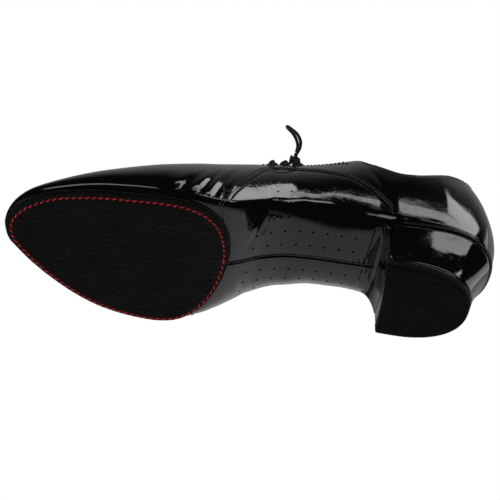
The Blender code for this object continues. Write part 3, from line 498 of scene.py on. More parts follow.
# %% Group: twisted thread and braided cord, on a pattern round and along the cord
TWIST, given, out = new_group("twisted_thread", [("Turns", 1.0), ("Strands", 3.0), ("Braid", 0.0)],
                              ["Tone", "Height"])
parts = add(TWIST, "ShaderNodeSeparateXYZ", {0: given["Vector"]})
round_it = sums(TWIST, "MULTIPLY", parts.outputs[0], given["Strands"])
along_it = sums(TWIST, "MULTIPLY", parts.outputs[1], given["Turns"])
one_way = sums(TWIST, "SINE", sums(TWIST, "MULTIPLY", sums(TWIST, "ADD", round_it, along_it), 2 * math.pi))
other = sums(TWIST, "SINE", sums(TWIST, "MULTIPLY", sums(TWIST, "SUBTRACT", round_it, along_it), 2 * math.pi))
braided = sums(TWIST, "MULTIPLY", one_way, other)
mixed = add(TWIST, "ShaderNodeMix", {"Factor": given["Braid"], 2: one_way, 3: braided},
            data_type="FLOAT").outputs[0]
# The Tone output is the Height spread to 0 to 1. The colour is painted lighter on the crests of the strands
# and darker in the grooves between them, a painted shade in the grooves.
TWIST.links.new(spread(TWIST, mixed, -0.8, 0.5), out["Tone"])
TWIST.links.new(mixed, out["Height"])
print("pattern groups:", [tree.name for tree in bpy.data.node_groups])

# %% [markdown]
# ## Leather, suede, cloth and thread
#
# Patent leather is leather under a thick clear lacquer. The lacquer is what is seen: a hard, nearly
# perfect mirror over black, bent by the soft leather below it. So the colour stays close to black,
# the roughness is very low, and a slow bump warps the reflections. The numbers for the coat are set
# on the shader itself.

# %% Patent leather
def finish_material(name, colour, **sockets):
    """A material, its tree and its shader; a socket's name has _ for each space."""
    made = bpy.data.materials.new(name)
    made.use_nodes = True
    shader = made.node_tree.nodes["Principled BSDF"]
    shader.inputs["Base Color"].default_value = (*colour, 1)
    for key, value in sockets.items():
        shader.inputs[key.replace("_", " ")].default_value = value
    return made, made.node_tree, shader


def use(tree, group, vector, **values):
    """A pattern group laid on a vector, with its own values."""
    made = add(tree, "ShaderNodeGroup", node_tree=group)
    tree.links.new(vector, made.inputs["Vector"])
    for key, value in values.items():
        made.inputs[key.replace("_", " ")].default_value = value
    return made.outputs


def two_tone(tree, shader, mask, low, high):
    """The colour: low where the mask is 0 and high where it is 1."""
    mix = add(tree, "ShaderNodeMix", {0: mask, 6: (*low, 1), 7: (*high, 1)}, data_type="RGBA")
    tree.links.new(mix.outputs[2], shader.inputs["Base Color"])


def bump(tree, shader, height, distance):
    """Bends the reflections as a surface with this height would, `distance` metres high."""
    made = add(tree, "ShaderNodeBump", {"Height": height, "Distance": distance})
    tree.links.new(made.outputs[0], shader.inputs["Normal"])


BLACK, DUST_GREY = (0.004, 0.004, 0.0045), (0.12, 0.12, 0.12)


def patent(name, size=60.0, depth=0.0004, holes=False):
    """Lacquered leather. With `holes` the pattern's air holes are cut right through."""
    made, tree, shader = finish_material(name, BLACK, Roughness=0.1, IOR=1.5,
                                         Coat_Weight=0.85, Coat_Roughness=0.035, Coat_IOR=1.5)
    spot = add(tree, "ShaderNodeTexCoord").outputs["Object"]
    waves = use(tree, WAVES, spot, Size=size)
    bump(tree, shader, waves["Height"], depth)
    dust = use(tree, DUST, spot, Amount=0.5)["Mask"]
    two_tone(tree, shader, dust, BLACK, DUST_GREY)
    rough = sums(tree, "ADD", sums(tree, "MULTIPLY", waves["Scuff"], 0.1), 0.07)
    tree.links.new(sums(tree, "ADD", rough, sums(tree, "MULTIPLY", dust, 0.5)), shader.inputs["Roughness"])
    if holes:
        tree.links.new(air_holes(tree), shader.inputs["Alpha"])
    return made


HOLE_PITCH = 8.8  # mm between holes in a row
HOLE_ROW = 9.2  # mm between rows
HOLE_RADIUS = 0.75  # mm


def air_holes(tree):
    """1 on the leather and 0 in a hole. The holes lie in rows and columns on the flat pattern, and
    only where the attribute says that there are holes."""
    uv = add(tree, "ShaderNodeUVMap", uv_map="pattern").outputs[0]
    parts = add(tree, "ShaderNodeSeparateXYZ", {0: uv})
    row = sums(tree, "DIVIDE", parts.outputs[1], HOLE_ROW)
    index = sums(tree, "ROUND", row)
    along = sums(tree, "DIVIDE", parts.outputs[0], HOLE_PITCH)
    dx = sums(tree, "MULTIPLY", sums(tree, "SUBTRACT", along, sums(tree, "ROUND", along)), HOLE_PITCH)
    dy = sums(tree, "MULTIPLY", sums(tree, "SUBTRACT", row, index), HOLE_ROW)
    squared = sums(tree, "ADD", sums(tree, "MULTIPLY", dx, dx), sums(tree, "MULTIPLY", dy, dy))
    away = sums(tree, "SQRT", squared)
    field = add(tree, "ShaderNodeAttribute", attribute_name="holes").outputs["Fac"]
    inside = sums(tree, "MULTIPLY", sums(tree, "LESS_THAN", away, HOLE_RADIUS), field)
    return sums(tree, "SUBTRACT", 1.0, sums(tree, "GREATER_THAN", inside, 0.5))


PATENT = patent("black_patent_leather")
PATENT_SOFT = patent("soft_waist_patent", size=46.0, depth=0.0007, holes=True)
PATENT_HEEL = patent("heel_patent", size=36.0, depth=0.0003)

# %% Suede
def suede(name, low, high, fibre, depth):
    """Short nap, dull and brushed two ways, with dust caught in it."""
    made, tree, shader = finish_material(name, high, Roughness=0.95, Sheen_Weight=0.1,
                                         Sheen_Roughness=0.5, Specular_IOR_Level=0.1)
    spot = add(tree, "ShaderNodeTexCoord").outputs["Object"]
    nap = use(tree, NAP, spot, Fibre=fibre)
    dust = use(tree, DUST, spot, Amount=0.8)["Mask"]
    two_tone(tree, shader, sums(tree, "ADD", nap["Tone"], dust), low, high)
    shine = sums(tree, "MULTIPLY", nap["Tone"], 0.12)
    tree.links.new(sums(tree, "SUBTRACT", 1.0, shine), shader.inputs["Roughness"])
    bump(tree, shader, nap["Height"], depth)
    return made


SUEDE = suede("black_sole_suede", (0.0008, 0.0008, 0.0009), (0.0062, 0.006, 0.0062), 1500.0, 0.0006)
TOP_SUEDE = suede("worn_heel_suede", (0.0012, 0.0012, 0.0013), (0.0062, 0.0061, 0.0063), 1200.0, 0.0004)

# %% Cloth and cords
def grey(level):
    return (level, level, level)


def cloth(name, low, high, threads, depth=0.00012, holes=False):
    """Woven cloth, worn paler in places; with `holes` it is punched as the panel over it is."""
    made, tree, shader = finish_material(name, high, Roughness=0.9, Sheen_Weight=0.3,
                                         Sheen_Roughness=0.4, Specular_IOR_Level=0.25)
    uv = add(tree, "ShaderNodeUVMap", uv_map="pattern").outputs[0]
    weave = use(tree, WEAVE, uv, Threads=threads)
    spot = add(tree, "ShaderNodeTexCoord").outputs["Object"]
    worn = spread(tree, noise(tree, spot, 90.0, 3.0), 0.35, 0.7)
    fade = sums(tree, "ADD", sums(tree, "MULTIPLY", worn, 0.5), 0.5)
    two_tone(tree, shader, sums(tree, "MULTIPLY", weave["Tone"], fade), low, high)
    bump(tree, shader, weave["Height"], depth)
    if holes:
        tree.links.new(air_holes(tree), shader.inputs["Alpha"])
    return made


def cord_finish(name, low, high, strands, turns, braid, depth, rough, sheen=0.1):
    """Thread or lace: `strands` wound `turns` times a millimetre, or crossing where `braid` is 1."""
    made, tree, shader = finish_material(name, high, Roughness=rough, Sheen_Weight=sheen,
                                         Sheen_Roughness=0.4)
    uv = add(tree, "ShaderNodeUVMap", uv_map="pattern").outputs[0]
    twist = use(tree, TWIST, uv, Strands=strands, Turns=turns, Braid=braid)
    # Painted shade: the colour runs from low in the grooves between the strands to high on their crests.
    two_tone(tree, shader, twist["Tone"], low, high)
    bump(tree, shader, twist["Height"], depth)
    return made


LINING = cloth("black_lining_cloth", (0.004, 0.004, 0.0042), (0.03, 0.03, 0.032), 2.4)
WAIST_LINING = cloth("waist_lining_cloth", (0.004, 0.004, 0.0042), (0.03, 0.03, 0.032), 2.4, holes=True)
SOCK = cloth("black_sock_cloth", (0.008, 0.008, 0.009), (0.045, 0.045, 0.047), 1.4, 0.0002)
# Each cord's first colour is painted shade for the grooves between its strands, and the second is the colour
# of their crests.
LACE = cord_finish("black_waxed_lace", grey(0.003), (0.022, 0.022, 0.023), 8, 0.75, 1.0, 0.00012, 0.5,
                   sheen=0.3)
RED_THREAD = cord_finish("red_sole_thread", (0.55, 0.006, 0.012), (0.95, 0.03, 0.04), 2, 1.1, 0.0,
                         0.0001, 0.45)
BLACK_THREAD = cord_finish("black_upper_thread", grey(0.02), grey(0.13), 2, 1.3, 0.0, 0.00008, 0.3)

# %% Things inside, and metal
def plain(name, low, high, scale, rough, metal=0.0, depth=0.0001):
    """Board, foam, moulded plastic and metal: two tones of a fine noise with a little bump."""
    made, tree, shader = finish_material(name, high, Roughness=rough, Metallic=metal)
    spot = add(tree, "ShaderNodeTexCoord").outputs["Object"]
    grain = noise(tree, spot, scale, 4.0, 0.6)
    two_tone(tree, shader, spread(tree, grain, 0.3, 0.7), low, high)
    dull = sums(tree, "ADD", sums(tree, "MULTIPLY", grain, 0.16), rough - 0.08)
    tree.links.new(dull, shader.inputs["Roughness"])
    bump(tree, shader, grain, depth)
    return made


BOARD = plain("pressed_fibre_board", (0.3, 0.2, 0.11), (0.47, 0.34, 0.2), 700.0, 0.85)
FOAM = plain("grey_latex_foam", (0.2, 0.2, 0.21), (0.34, 0.34, 0.35), 1400.0, 0.95, depth=0.0003)
HEEL_PLASTIC = plain("moulded_heel_plastic", grey(0.02), grey(0.035), 400.0, 0.45)
STEEL = plain("drawn_steel", grey(0.45), grey(0.62), 900.0, 0.32, 1.0)
ENAMEL = plain("black_enamel", grey(0.006), grey(0.012), 500.0, 0.22)
print("finishes:", len(bpy.data.materials))

# %% [markdown]
# ## The upper
#
# The upper is cut as five panels: the vamp over the toes, two quarters round the heel and up to the
# laces, and two soft panels under the waist. Seams are lines on the form, given as places along the
# shoe and angles round it. Where two panels meet, the lower one slips under the upper one, so its
# depth below the surface grows across the seam.

# %% Seams and edges
FRONT_SEAM = [(132, -45), (130.4, -18), (126.2, 3.5), (119, 13), (111.5, 23), (104, 33), (98, 38)]
REAR_SEAM = [(22, 0), (27, 2.5), (32, 7.5), (38.5, 15.5), (44.5, 22), (51, 28), (59.5, 33),
             (70, 37.5), (82, 39.5), (98, 38)]
THROAT = [(98, 38), (101, 50), (104, 64), (108, 80), (109, 90)]
TOPLINE = [(-43, 108), (-32, 107), (-20, 103.4), (-6, 96), (8, 91), (18, 91.6), (27, 97.5), (34, 104)]
FACING = [(40, 64), (47, 71.5), (60, 75), (80, 76), (104.4, 76)]
MARGIN = -62.0  # degrees: how far under the foot the leather is lasted
LACE_PLACES, EYELET_ANGLE = (79.0, 87.5, 96.0), 66.0
LEATHER, STIFFENER, LINING_THICK = 0.0013, 0.0008, 0.0008
LAYER_GAPS = 0.0008  # room for glue on both sides of the stiffener
LINING_DEPTH = LEATHER + STIFFENER + LAYER_GAPS
INSIDE = LINING_DEPTH + LINING_THICK + 0.0003
BOTH_SIDES = ((1, "medial"), (-1, "lateral"))


def angle_at(x_mm, z_mm):
    """The angle at which the form has this height, by halving the interval thirty times."""
    low, high = np.zeros(np.shape(x_mm)), np.full(np.shape(x_mm), np.pi / 2)
    for _ in range(30):
        middle = (low + high) / 2
        below = skin(station(x_mm), middle, 1)[..., 2] < np.asarray(z_mm) * MM
        low, high = np.where(below, middle, low), np.where(below, high, middle)
    return np.degrees(low)


def top_run(count):
    """The topline from the back, then the facing down to the throat."""
    xs = np.array([p[0] for p in TOPLINE], float)
    angles = angle_at(xs, np.array([p[1] for p in TOPLINE], float))
    return run(list(zip(xs, angles)) + FACING, count)


def bell(value, width):
    """A smooth bump: 1 at nothing, fading over `width`."""
    return np.exp(-((value / width) ** 2))


print("the topline is lowest at", round(min(p[1] for p in TOPLINE)), "mm")

# %% The vamp, creased where the foot bends it
def vamp_grid(rows, columns, back_off, margin):
    """Columns follow the rear edge from the lasting margin over the ridge; rows run from the toe."""
    seam_count, throat_count, under_count = columns
    seam, throat = run(FRONT_SEAM, seam_count), run(THROAT, throat_count)
    low_angle = np.linspace(margin, FRONT_SEAM[0][1], under_count)[:-1]
    low_x = np.interp(low_angle, [-90, FRONT_SEAM[0][1]], [126.5, FRONT_SEAM[0][0]])
    angle = np.concatenate([low_angle, seam[1], throat[1][1:]])
    back = np.concatenate([low_x, seam[0], throat[0][1:]])
    back = back + np.where(angle > 38.5, back_off, max(back_off, 0.1))
    angle, back = np.concatenate([angle, angle[-2::-1]]), np.concatenate([back, back[-2::-1]])
    side = np.where(np.arange(len(angle)) < (len(angle) + 1) // 2, 1, -1)
    t = (np.linspace(0, 1, rows) ** 0.85)[:, None]
    f = 1 + (station(back) - 1) * t
    return f, np.broadcast_to(angle, f.shape), np.broadcast_to(side, f.shape)


def creases(f, angle):
    """Soft folds across the ball: three valleys that start at the sole's rear corner and fade as
    they climb, and a shallow dimple between them."""
    x = place(f)
    depth = np.zeros_like(x)
    for start, lean, width, deep, top in ((138, -0.42, 2.2, 0.75, 34), (147, -0.5, 2.8, 0.6, 30),
                                          (159, -0.62, 3.4, 0.42, 27), (132, -0.2, 1.8, 0.4, 24)):
        line = start + lean * angle
        fade = np.clip((angle + 4) / 10, 0, 1) * np.clip((top - angle) / 16, 0, 1)
        depth += deep * MM * bell(x - line, width) * fade
        depth -= 0.45 * deep * MM * bell(x - line - 1.9 * width, width * 1.2) * fade
    across = bell(x - 131 + 0.1 * (angle - 60), 5.5) * np.clip((angle - 44) / 25, 0, 1)
    return depth + 0.00022 * across


f, angle, side = vamp_grid(130, (56, 30, 6), -3.0, MARGIN)
under_quarters = np.clip((place(f[-1])[None] + 4.2 - place(f)) / 1.6, 0, 1) * (angle > 38.5)
depth = creases(f, angle) + 0.0015 * under_quarters
outer = skin(f, np.radians(angle), side, depth)
inner = skin(f, np.radians(angle), side, np.maximum(depth, 0) + LEATHER)
vamp = rounded(slab("upper_vamp", outer, inner, PATENT))
fit(vamp, at_the_ball, "vamp")

f, angle, side = vamp_grid(60, (30, 16, 4), 1.0, MARGIN + 4)
flat = np.stack([place(f), np.broadcast_to(np.cumsum(np.full(f.shape[1], 1.3)), f.shape)], -1)
lining = slab("vamp_inner_lining", skin(f, np.radians(angle), side, LINING_DEPTH),
              skin(f, np.radians(angle), side, LINING_DEPTH + LINING_THICK), LINING, flat)
fit(lining, at_the_ball, "vamp_lining")
print("vamp:", len(vamp.data.polygons), "faces")

# %% The quarters, from the heel seat to the laces
def quarter_low(counts, drop, lift):
    """The lower edge: the seat margin, up the waist's rear corner and along the rear seam."""
    seat_x = place(np.linspace(station(-42.97), station(18), counts[0]))
    seam_x, seam_angle = run(REAR_SEAM, counts[1])
    turn = np.linspace(0, 1, 30)[1:-1]
    x = np.concatenate([seat_x, np.interp(turn, [0, 0.34, 0.7, 1], [18, 20, 21, 22]), seam_x])
    angle = np.concatenate([np.full(counts[0], drop), drop * (1 - turn), seam_angle + lift])
    along = np.linspace(0, 1, len(x))
    fine = np.linspace(0, 1, counts[2])
    return np.interp(fine, along, x), np.interp(fine, along, angle)


def on_the_widest_line(angle):
    """Moves the row nearest to the form's sharp widest line on to it, and its neighbours less."""
    nearest = np.abs(angle).argmin(0)
    off = np.take_along_axis(angle, nearest[None], 0) * (angle[0] < -0.5)
    near = np.clip(1 - np.abs(np.arange(len(angle))[:, None] - nearest[None]) / 4, 0, 1)
    return angle - off * near


def quarter_grid(drop, lift, top_drop, columns, rows):
    """Rows from the lower edge up to the topline and the facing."""
    low = quarter_low((90, 110, columns), drop, lift)
    high = top_run(columns)
    f, angle = ruled(low, (high[0], high[1] - top_drop), np.linspace(0, 1, rows))
    return f, on_the_widest_line(angle)


def folded(t, lip):
    """A turned edge: the leather dips by its own thickness in the last part of the way."""
    return np.clip((t - 1 + lip) / lip, 0, 1) ** 3


for side, word in BOTH_SIDES:
    f, angle = quarter_grid(MARGIN, 0.0, 0, 190, 90)
    t = np.linspace(0, 1, 90)[:, None] + 0 * f
    ripple = 0.00018 * np.sin(place(f) / 7 + 2 * t) * bell(t - 0.45, 0.4)
    wrinkle = 0.0003 * bell(place(f) - 26 - 14 * t, 3.2) * bell(t - 0.35, 0.28)
    depth = 0.0005 * folded(t, 0.02) + ripple + wrinkle
    outer = skin(f, np.radians(angle), side, depth)
    inner = skin(f, np.radians(angle), side, LEATHER)
    quarter = rounded(slab(f"upper_quarter_{word}", outer, inner, PATENT))
    fit(quarter, at_the_waist, f"quarter_{word}")
    f, angle = quarter_grid(MARGIN + 4, 1.0, 0.4, 90, 44)
    flat = np.stack([place(f), np.broadcast_to(np.linspace(0, 95, 44)[:, None], f.shape)], -1)
    backing = slab(f"quarter_inner_lining_{word}", skin(f, np.radians(angle), side, LINING_DEPTH),
                   skin(f, np.radians(angle), side, LINING_DEPTH + LINING_THICK), LINING, flat)
    fit(backing, at_the_waist, f"quarter_lining_{word}")
    print(word, "quarter:", len(quarter.data.polygons), "faces")

# %% [markdown]
# ### The waist panels
#
# There is no sole under the waist, only two soft panels joined by a raised seam along the middle.
# They are punched with rows of air holes. The holes are cut by the finish: each point of a panel
# carries its place on the flat pattern in millimetres, and an attribute that says where holes may
# be. The leather is thin there and a little loose, so it is given shallow hollows.

# %% Waist panels with air holes
WAIST_START, WAIST_END = 27.5, 124.0


def waist_grid(columns, rows, past, shift=0.0, start=WAIST_START):
    """Rows from the centre seam up to the rear and front seams, and `past` them."""
    rear = run(REAR_SEAM, columns)
    front = run(FRONT_SEAM[::-1], columns // 2)
    top_x = np.concatenate([rear[0], front[0][1:]])
    top_angle = np.concatenate([rear[1], front[1][1:]]) - shift
    share = np.linspace(0, 1, len(top_x))
    low = (start + (WAIST_END - start) * share, np.full(len(top_x), -89.6))
    f, angle = ruled(low, (top_x, top_angle), np.linspace(0, past, rows))
    return f, on_the_widest_line(angle)


def girth(f, phi, side):
    """How far each point is from the centre seam, along the leather, in mm."""
    at = skin(f, phi, side)
    step = np.linalg.norm(np.diff(at, axis=0), axis=-1)
    return np.concatenate([np.zeros((1, f.shape[1])), np.cumsum(step, axis=0)]) / MM


def mark_holes(obj, f, phi, side):
    """Holes lie in the middle of the panel, clear of every edge."""
    x, up = place(f), girth(f, phi, side)
    reach = np.interp(x, [36, 52, 60, 98, 104, 112], [0, 0.35, 1, 1, 0.6, 0])
    high = 14 + 40 * reach
    inside = (up > 8) & (up < high) & (x > 42) & (x < 107)
    values = np.concatenate([inside.ravel(), inside.ravel()]).astype(np.float32)
    field = obj.data.attributes.new("holes", "FLOAT", "POINT")
    if len(field.data) != len(values):
        raise ValueError("the panel lost points, so its holes can't be marked")
    field.data.foreach_set("value", values)


for side, word in BOTH_SIDES:
    f, angle = waist_grid(110, 90, 1.055, start=21.0)
    phi = np.radians(angle)
    t = np.linspace(0, 1.055, 90)[:, None] + 0 * f
    slip = np.clip((t - 0.985) / 0.03, 0, 1)
    tucked = 0.0016 * slip**2 * (3 - 2 * slip)
    x, up = place(f), girth(f, phi, side)
    hollow = (0.0007 * bell(x - 62, 14) * bell(up - 30, 14) + 0.0005 * bell(x - 88, 9) * bell(up - 40, 10)
              + 0.00015 * bell(x - 42, 9) * bell(up - 22, 16) - 0.0003 * bell(x - 75, 6) * bell(up - 22, 18))
    fold = 0.0006 * bell(x - 112 + 0.28 * up, 2.4) * bell(up - 24, 14)
    pucker = 0.00012 * np.sin(x * 2 * np.pi / 3.1) * bell(up - 2.5, 2.2)
    depth = 0.0001 + tucked + (hollow + fold + pucker) * np.clip((1 - t) / 0.12, 0, 1)
    flat = np.stack([x, up], -1)
    outer, inner = skin(f, phi, side, depth), skin(f, phi, side, depth + 0.0011)
    panel = slab(f"waist_panel_{word}", outer, inner, PATENT_SOFT, flat, weld=0)
    mark_holes(panel, f, phi, side)
    fit(panel, at_the_waist, f"arch_panel_{word}")
    f, angle = waist_grid(60, 50, 1.0, 0.9)
    phi = np.radians(angle)
    flat = np.stack([place(f), girth(f, phi, side)], -1)
    backing = slab(f"waist_inner_lining_{word}", skin(f, phi, side, LINING_DEPTH),
                   skin(f, phi, side, LINING_DEPTH + LINING_THICK), WAIST_LINING, flat, weld=0)
    mark_holes(backing, f, phi, side)
    fit(backing, at_the_waist, f"arch_lining_{word}")
    print(word, "waist panel:", len(panel.data.polygons), "faces, girth", round(float(up.max())), "mm")

# %% [markdown]
# ### Stitching
#
# A row of stitches is one mesh. Each stitch is a short bit of thread that comes up out of the
# leather, lies on it and goes down again. All the stitches of a row are worked out together: the
# middle line of each is a low arch, and small rings are set across it. In a lockstitch the threads
# lie at a slight angle to the row, because each one is pulled to one side as it locks.

# %% Rows of stitches
THREAD_SUNK = 0.0001  # how far a row lies below the leather's face


def stitch_row(name, at, normal, pitch, length, radius, finish, skew=0.0, sink=0.35):
    """Stitches of `length` every `pitch` along a line, in metres, on the side of `normal`."""
    step = distances(at)
    count = max(int(step[-1] / pitch), 2)
    rings, sides = 7, 6
    start = np.linspace(0, step[-1] - length, count)[:, None]
    share = np.linspace(0, 1, rings)[None]
    s = start + length * share
    line = np.stack([np.interp(s, step, at[:, i]) for i in range(3)], -1)
    out = unit(np.stack([np.interp(s, step, normal[:, i]) for i in range(3)], -1))
    cross = np.cross(out, unit(np.gradient(line, axis=1)))
    arch = np.sin(np.pi * share)[..., None] ** 0.5
    middle = line + out * radius * (arch * (1.0 + sink) - sink) + cross * (share[..., None] - 0.5) * skew
    thick = radius * (0.55 + 0.45 * arch)
    turn = np.linspace(0, 2 * np.pi, sides, endpoint=False)
    ring = (cross[:, :, None] * np.cos(turn)[None, None, :, None]
            + out[:, :, None] * np.sin(turn)[None, None, :, None])
    points = middle[:, :, None] + ring * thick[:, :, None]
    one = quads(rings, sides, 0, True)
    caps = np.array([(0, 1, 2, 3), (0, 3, 4, 5)])
    last = (rings - 1) * sides
    one = np.concatenate([one, caps[:, ::-1], caps + last])
    faces = (one[None] + (np.arange(count) * rings * sides)[:, None, None]).reshape(-1, 4)
    flat = np.stack(np.broadcast_arrays(turn[None, None] / (2 * np.pi), (s / MM)[..., None]), -1)
    made = piece(name, points, faces, finish, flat, weld=0, sharp=80)
    print(name, count, "stitches")
    return made


def seam_stitches(name, points, side, offset=0.0):
    """A row on the form, `offset` metres to the left of a run of (mm, degrees). The form's sharp
    widest line is left clear."""
    x, angle = run(points, 300)
    clear = np.abs(angle) > 4
    x, angle = x[clear], angle[clear]
    f, phi = moved(station(x), np.radians(angle), side, offset * side)
    at, normal = outward(f, phi, side, THREAD_SUNK)
    return stitch_row(name, at, normal, 0.0026, 0.0021, 0.00034, BLACK_THREAD)


# %% Stitch the panels together
for side, word in BOTH_SIDES:
    for row, gap in ((1, 0.0011), (2, 0.0031)):
        sewn = seam_stitches(f"front_seam_stitches_{word}_{row}", FRONT_SEAM, side, -gap)
        fit(sewn, "waist")
    for row, gap in ((1, 0.0011), (2, 0.0029)):
        sewn = seam_stitches(f"rear_seam_stitches_{word}_{row}", REAR_SEAM[1:], side, gap)
        fit(sewn, at_the_waist)
    x, angle = top_run(400)
    edge = np.stack([x, angle], 1)[(x > -42) & (x < 36)]
    f, phi = moved(station(edge[:, 0]), np.radians(edge[:, 1]), side, -0.0022 * side)
    at, normal = outward(f, phi, side, THREAD_SUNK)
    sewn = stitch_row(f"topline_stitches_{word}", at, normal, 0.0026, 0.002, 0.0003, BLACK_THREAD)
    fit(sewn, at_the_waist)
    for row, gap in ((1, 1.6), (2, 16.0)):
        line = [(p[0], p[1] - gap) for p in FACING[1:]]
        sewn = seam_stitches(f"facing_stitches_{word}_{row}", line, side)
        fit(sewn, at_the_waist)
    edge_gap, facing_top = 1.6, FACING[-1][1]
    line = [(x - edge_gap, angle) for x, angle in THROAT if angle <= facing_top]
    line.append((THROAT[-1][0] - edge_gap, facing_top))
    sewn = seam_stitches(f"throat_stitches_{word}", line, side)
    fit(sewn, at_the_waist)

# %% [markdown]
# ### The raised seam under the waist
#
# The two soft panels are sewn together edge to edge, and the seam stands up as a low rounded ridge
# with a row of stitches on each side of it.

# %% Centre seam
x = np.linspace(WAIST_START + 1.5, 122, 240)
middle = skin(station(x), -np.pi / 2, 1)
middle[:, 2] -= 0.0002
seam = tube("waist_centre_ridge", middle, 0.0011, patent("seam_patent", 90.0, 0.0002), 16)
fit(seam, at_the_waist, "arch_centre_seam")
for row, y in ((1, 0.0019), (2, -0.0019)):
    at = middle + np.array([0, y, 0.0001])
    down = np.tile([0, 0, -1.0], (len(at), 1))
    sewn = stitch_row(f"centre_seam_stitches_{row}", at, down, 0.0025, 0.0021, 0.00036, BLACK_THREAD,
                      skew=0.0004)
    fit(sewn, at_the_waist)

# %% [markdown]
# ## The suede outsole and its red lockstitch
#
# The patch under the ball is raw split suede, so its edge is ragged and its face is a short nap. Its
# outline is a smooth closed curve. Rings are taken inwards from it: the first ones round the edge,
# the next ones dip into the groove that the stitches pull into the suede, and the last one is filled
# with straight lines from side to side.

# %% The outline and the height of the sole
OUTSOLE, SOLE_START = 0.0026, 119.5


def smooth_loop(points, count):
    """Evenly spaced points on a closed smooth curve."""
    again = np.concatenate([points[-4:-1], points, points[1:4]])
    along = distances(again)
    at = np.linspace(along[3], along[-4], count, endpoint=False)
    return np.stack([curve(along, again[:, i])(at) for i in range(points.shape[1])], 1)


def sole_edge(count):
    """The outline in plan, from the middle of its rear edge round by the arch side."""
    medial = [(0, 1.0), (2, 15.5), (6, 26.5), (13, 36), (22, 42.4), (32, 45.2), (46, 45.8), (62, 44.4),
              (82, 41.4), (97, 37.2), (111, 31.4), (122.5, 23.4), (130, 14.6), (133.5, 3)]
    lateral = [(2, -15.5), (6, -27), (13, -37), (22, -43.4), (32, -46.4), (46, -46.8), (62, -44.8),
               (82, -39), (97, -32), (111, -24), (122.5, -15.2), (130, -8.2)]
    loop = np.array(medial + lateral[::-1] + medial[:1], float)
    loop = smooth_loop(loop, count)
    return np.column_stack([loop[:, 0] + SOLE_START, loop[:, 1]]) * MM


def inset_loop(loop, distance):
    """The loop moved inwards by a distance, or by one for each point."""
    along = unit(np.roll(loop, -1, 0) - np.roll(loop, 1, 0))
    inward = np.stack([along[:, 1], -along[:, 0]], 1)
    if ((loop.mean(0) - loop) * inward).sum() < 0:
        inward = -inward
    return loop + inward * np.reshape(distance, (-1, 1))


def stitch_inset(y):
    """How far in the seam lies: further from the edge on the arch side than on the outer side."""
    return np.interp(y, [-0.047, -0.02, 0.02, 0.046], [0.0017, 0.0022, 0.0044, 0.0047])


def sole_bottom(x):
    """The lower face: flat under the ball, rising to the toe and towards the waist."""
    return heights(station(x / MM))[0] - OUTSOLE - 0.0003


# %% The suede
rng = np.random.default_rng(11)
COUNT = 560
edge = sole_edge(COUNT)
ragged = np.convolve(np.tile(rng.normal(0, 1, COUNT), 3), np.ones(5) / 5, "same")[COUNT:2 * COUNT]
insets = np.concatenate([[0, 0.0003, 0.0007, 0.0011], np.linspace(0.0014, 0.0056, 18), [0.0062, 0.007]])
rise = np.interp(insets, [0, 0.0003, 0.0007, 0.0012], [0.0011, 0.0004, 0.0001, 0])
wave = 0.00012 * np.sin(np.arange(COUNT) * 2 * np.pi * 145 / COUNT)
low, top = [], []
for inset, lift in zip(insets, rise):
    ring = inset_loop(edge, inset + 0.00009 * ragged * np.exp(-inset / 0.0004))
    groove = 0.00055 * bell(inset - stitch_inset(ring[:, 1]), 0.0005)
    height = sole_bottom(ring[:, 0]) + lift + groove + wave * (groove > 0.0002)
    low.append(np.column_stack([ring, height]))
    frayed = 0.00014 * ragged * np.exp(-inset / 0.0004) + 0.0003 * np.exp(-inset / 0.0002)
    cut = inset_loop(edge, inset + frayed)
    top.append(np.column_stack([cut, sole_bottom(cut[:, 0]) + OUTSOLE - 0.0002 * np.exp(-inset / 0.0003)]))
half, lanes = COUNT // 2, 41
medial, lateral = low[-1][: half + 1, :2], low[-1][-np.arange(half + 1), :2]
across = np.linspace(0, 1, lanes)[None, :, None]
middle = medial[:, None] * (1 - across) + lateral[:, None] * across
height = sole_bottom(middle[..., 0])
fill_low = np.concatenate([middle, height[..., None]], -1)
fill_top = np.concatenate([middle, height[..., None] + OUTSOLE], -1)
rows = len(insets)
total, cells = rows * COUNT, (half + 1) * lanes
faces = [quads(rows, COUNT, 0, True), quads(rows, COUNT, total, True)[:, ::-1],
         wall(np.append(np.arange(COUNT), 0), total),
         quads(half + 1, lanes, 2 * total)[:, ::-1], quads(half + 1, lanes, 2 * total + cells)]
points = np.concatenate([np.array(top).reshape(-1, 3), np.array(low).reshape(-1, 3),
                         fill_top.reshape(-1, 3), fill_low.reshape(-1, 3)])
outsole = piece("outsole_split_suede", points, np.concatenate(faces), SUEDE, weld=1e-6)
fit(outsole, at_the_ball, "outsole_suede")
print("outsole:", len(outsole.data.polygons), "faces")

# %% Loose fibres of the raw edge
def fibres(name, at, way, length, radius, finish):
    """Thin pointed spikes, each a base of three points and a tip."""
    count = len(at)
    way = unit(way)
    one = unit(np.cross(way, rng.normal(0, 1, (count, 3))))
    two = np.cross(way, one)
    turn = np.array([0, 2, 4]) * np.pi / 3
    ring = one[:, None] * np.cos(turn)[None, :, None] + two[:, None] * np.sin(turn)[None, :, None]
    base = at[:, None] + ring * radius
    tip = (at + way * length[:, None])[:, None]
    points = np.concatenate([base, tip], 1)
    one = np.array([(0, 1, 3), (1, 2, 3), (2, 0, 3), (2, 1, 0)])
    faces = (one[None] + (np.arange(count) * 4)[:, None, None]).reshape(-1, 3)
    return piece(name, points, faces, finish, weld=0)


spots = rng.integers(0, COUNT, 5200)
height = rng.uniform(0.15, 1, len(spots))
here = edge[spots]
out_way = unit(edge[spots] - inset_loop(edge, 0.001)[spots])
at = np.column_stack([here - out_way * 0.0005 * (1 - height)[:, None],
                      sole_bottom(here[:, 0]) + OUTSOLE * height])
way = np.column_stack([out_way, rng.normal(-0.15, 0.5, len(spots))]) + rng.normal(0, 0.35, (len(spots), 3))
fuzz = fibres("outsole_edge_fibres", at, way, rng.uniform(0.0002, 0.0007, len(spots)), 0.00004, SUEDE)
fit(fuzz, at_the_ball)

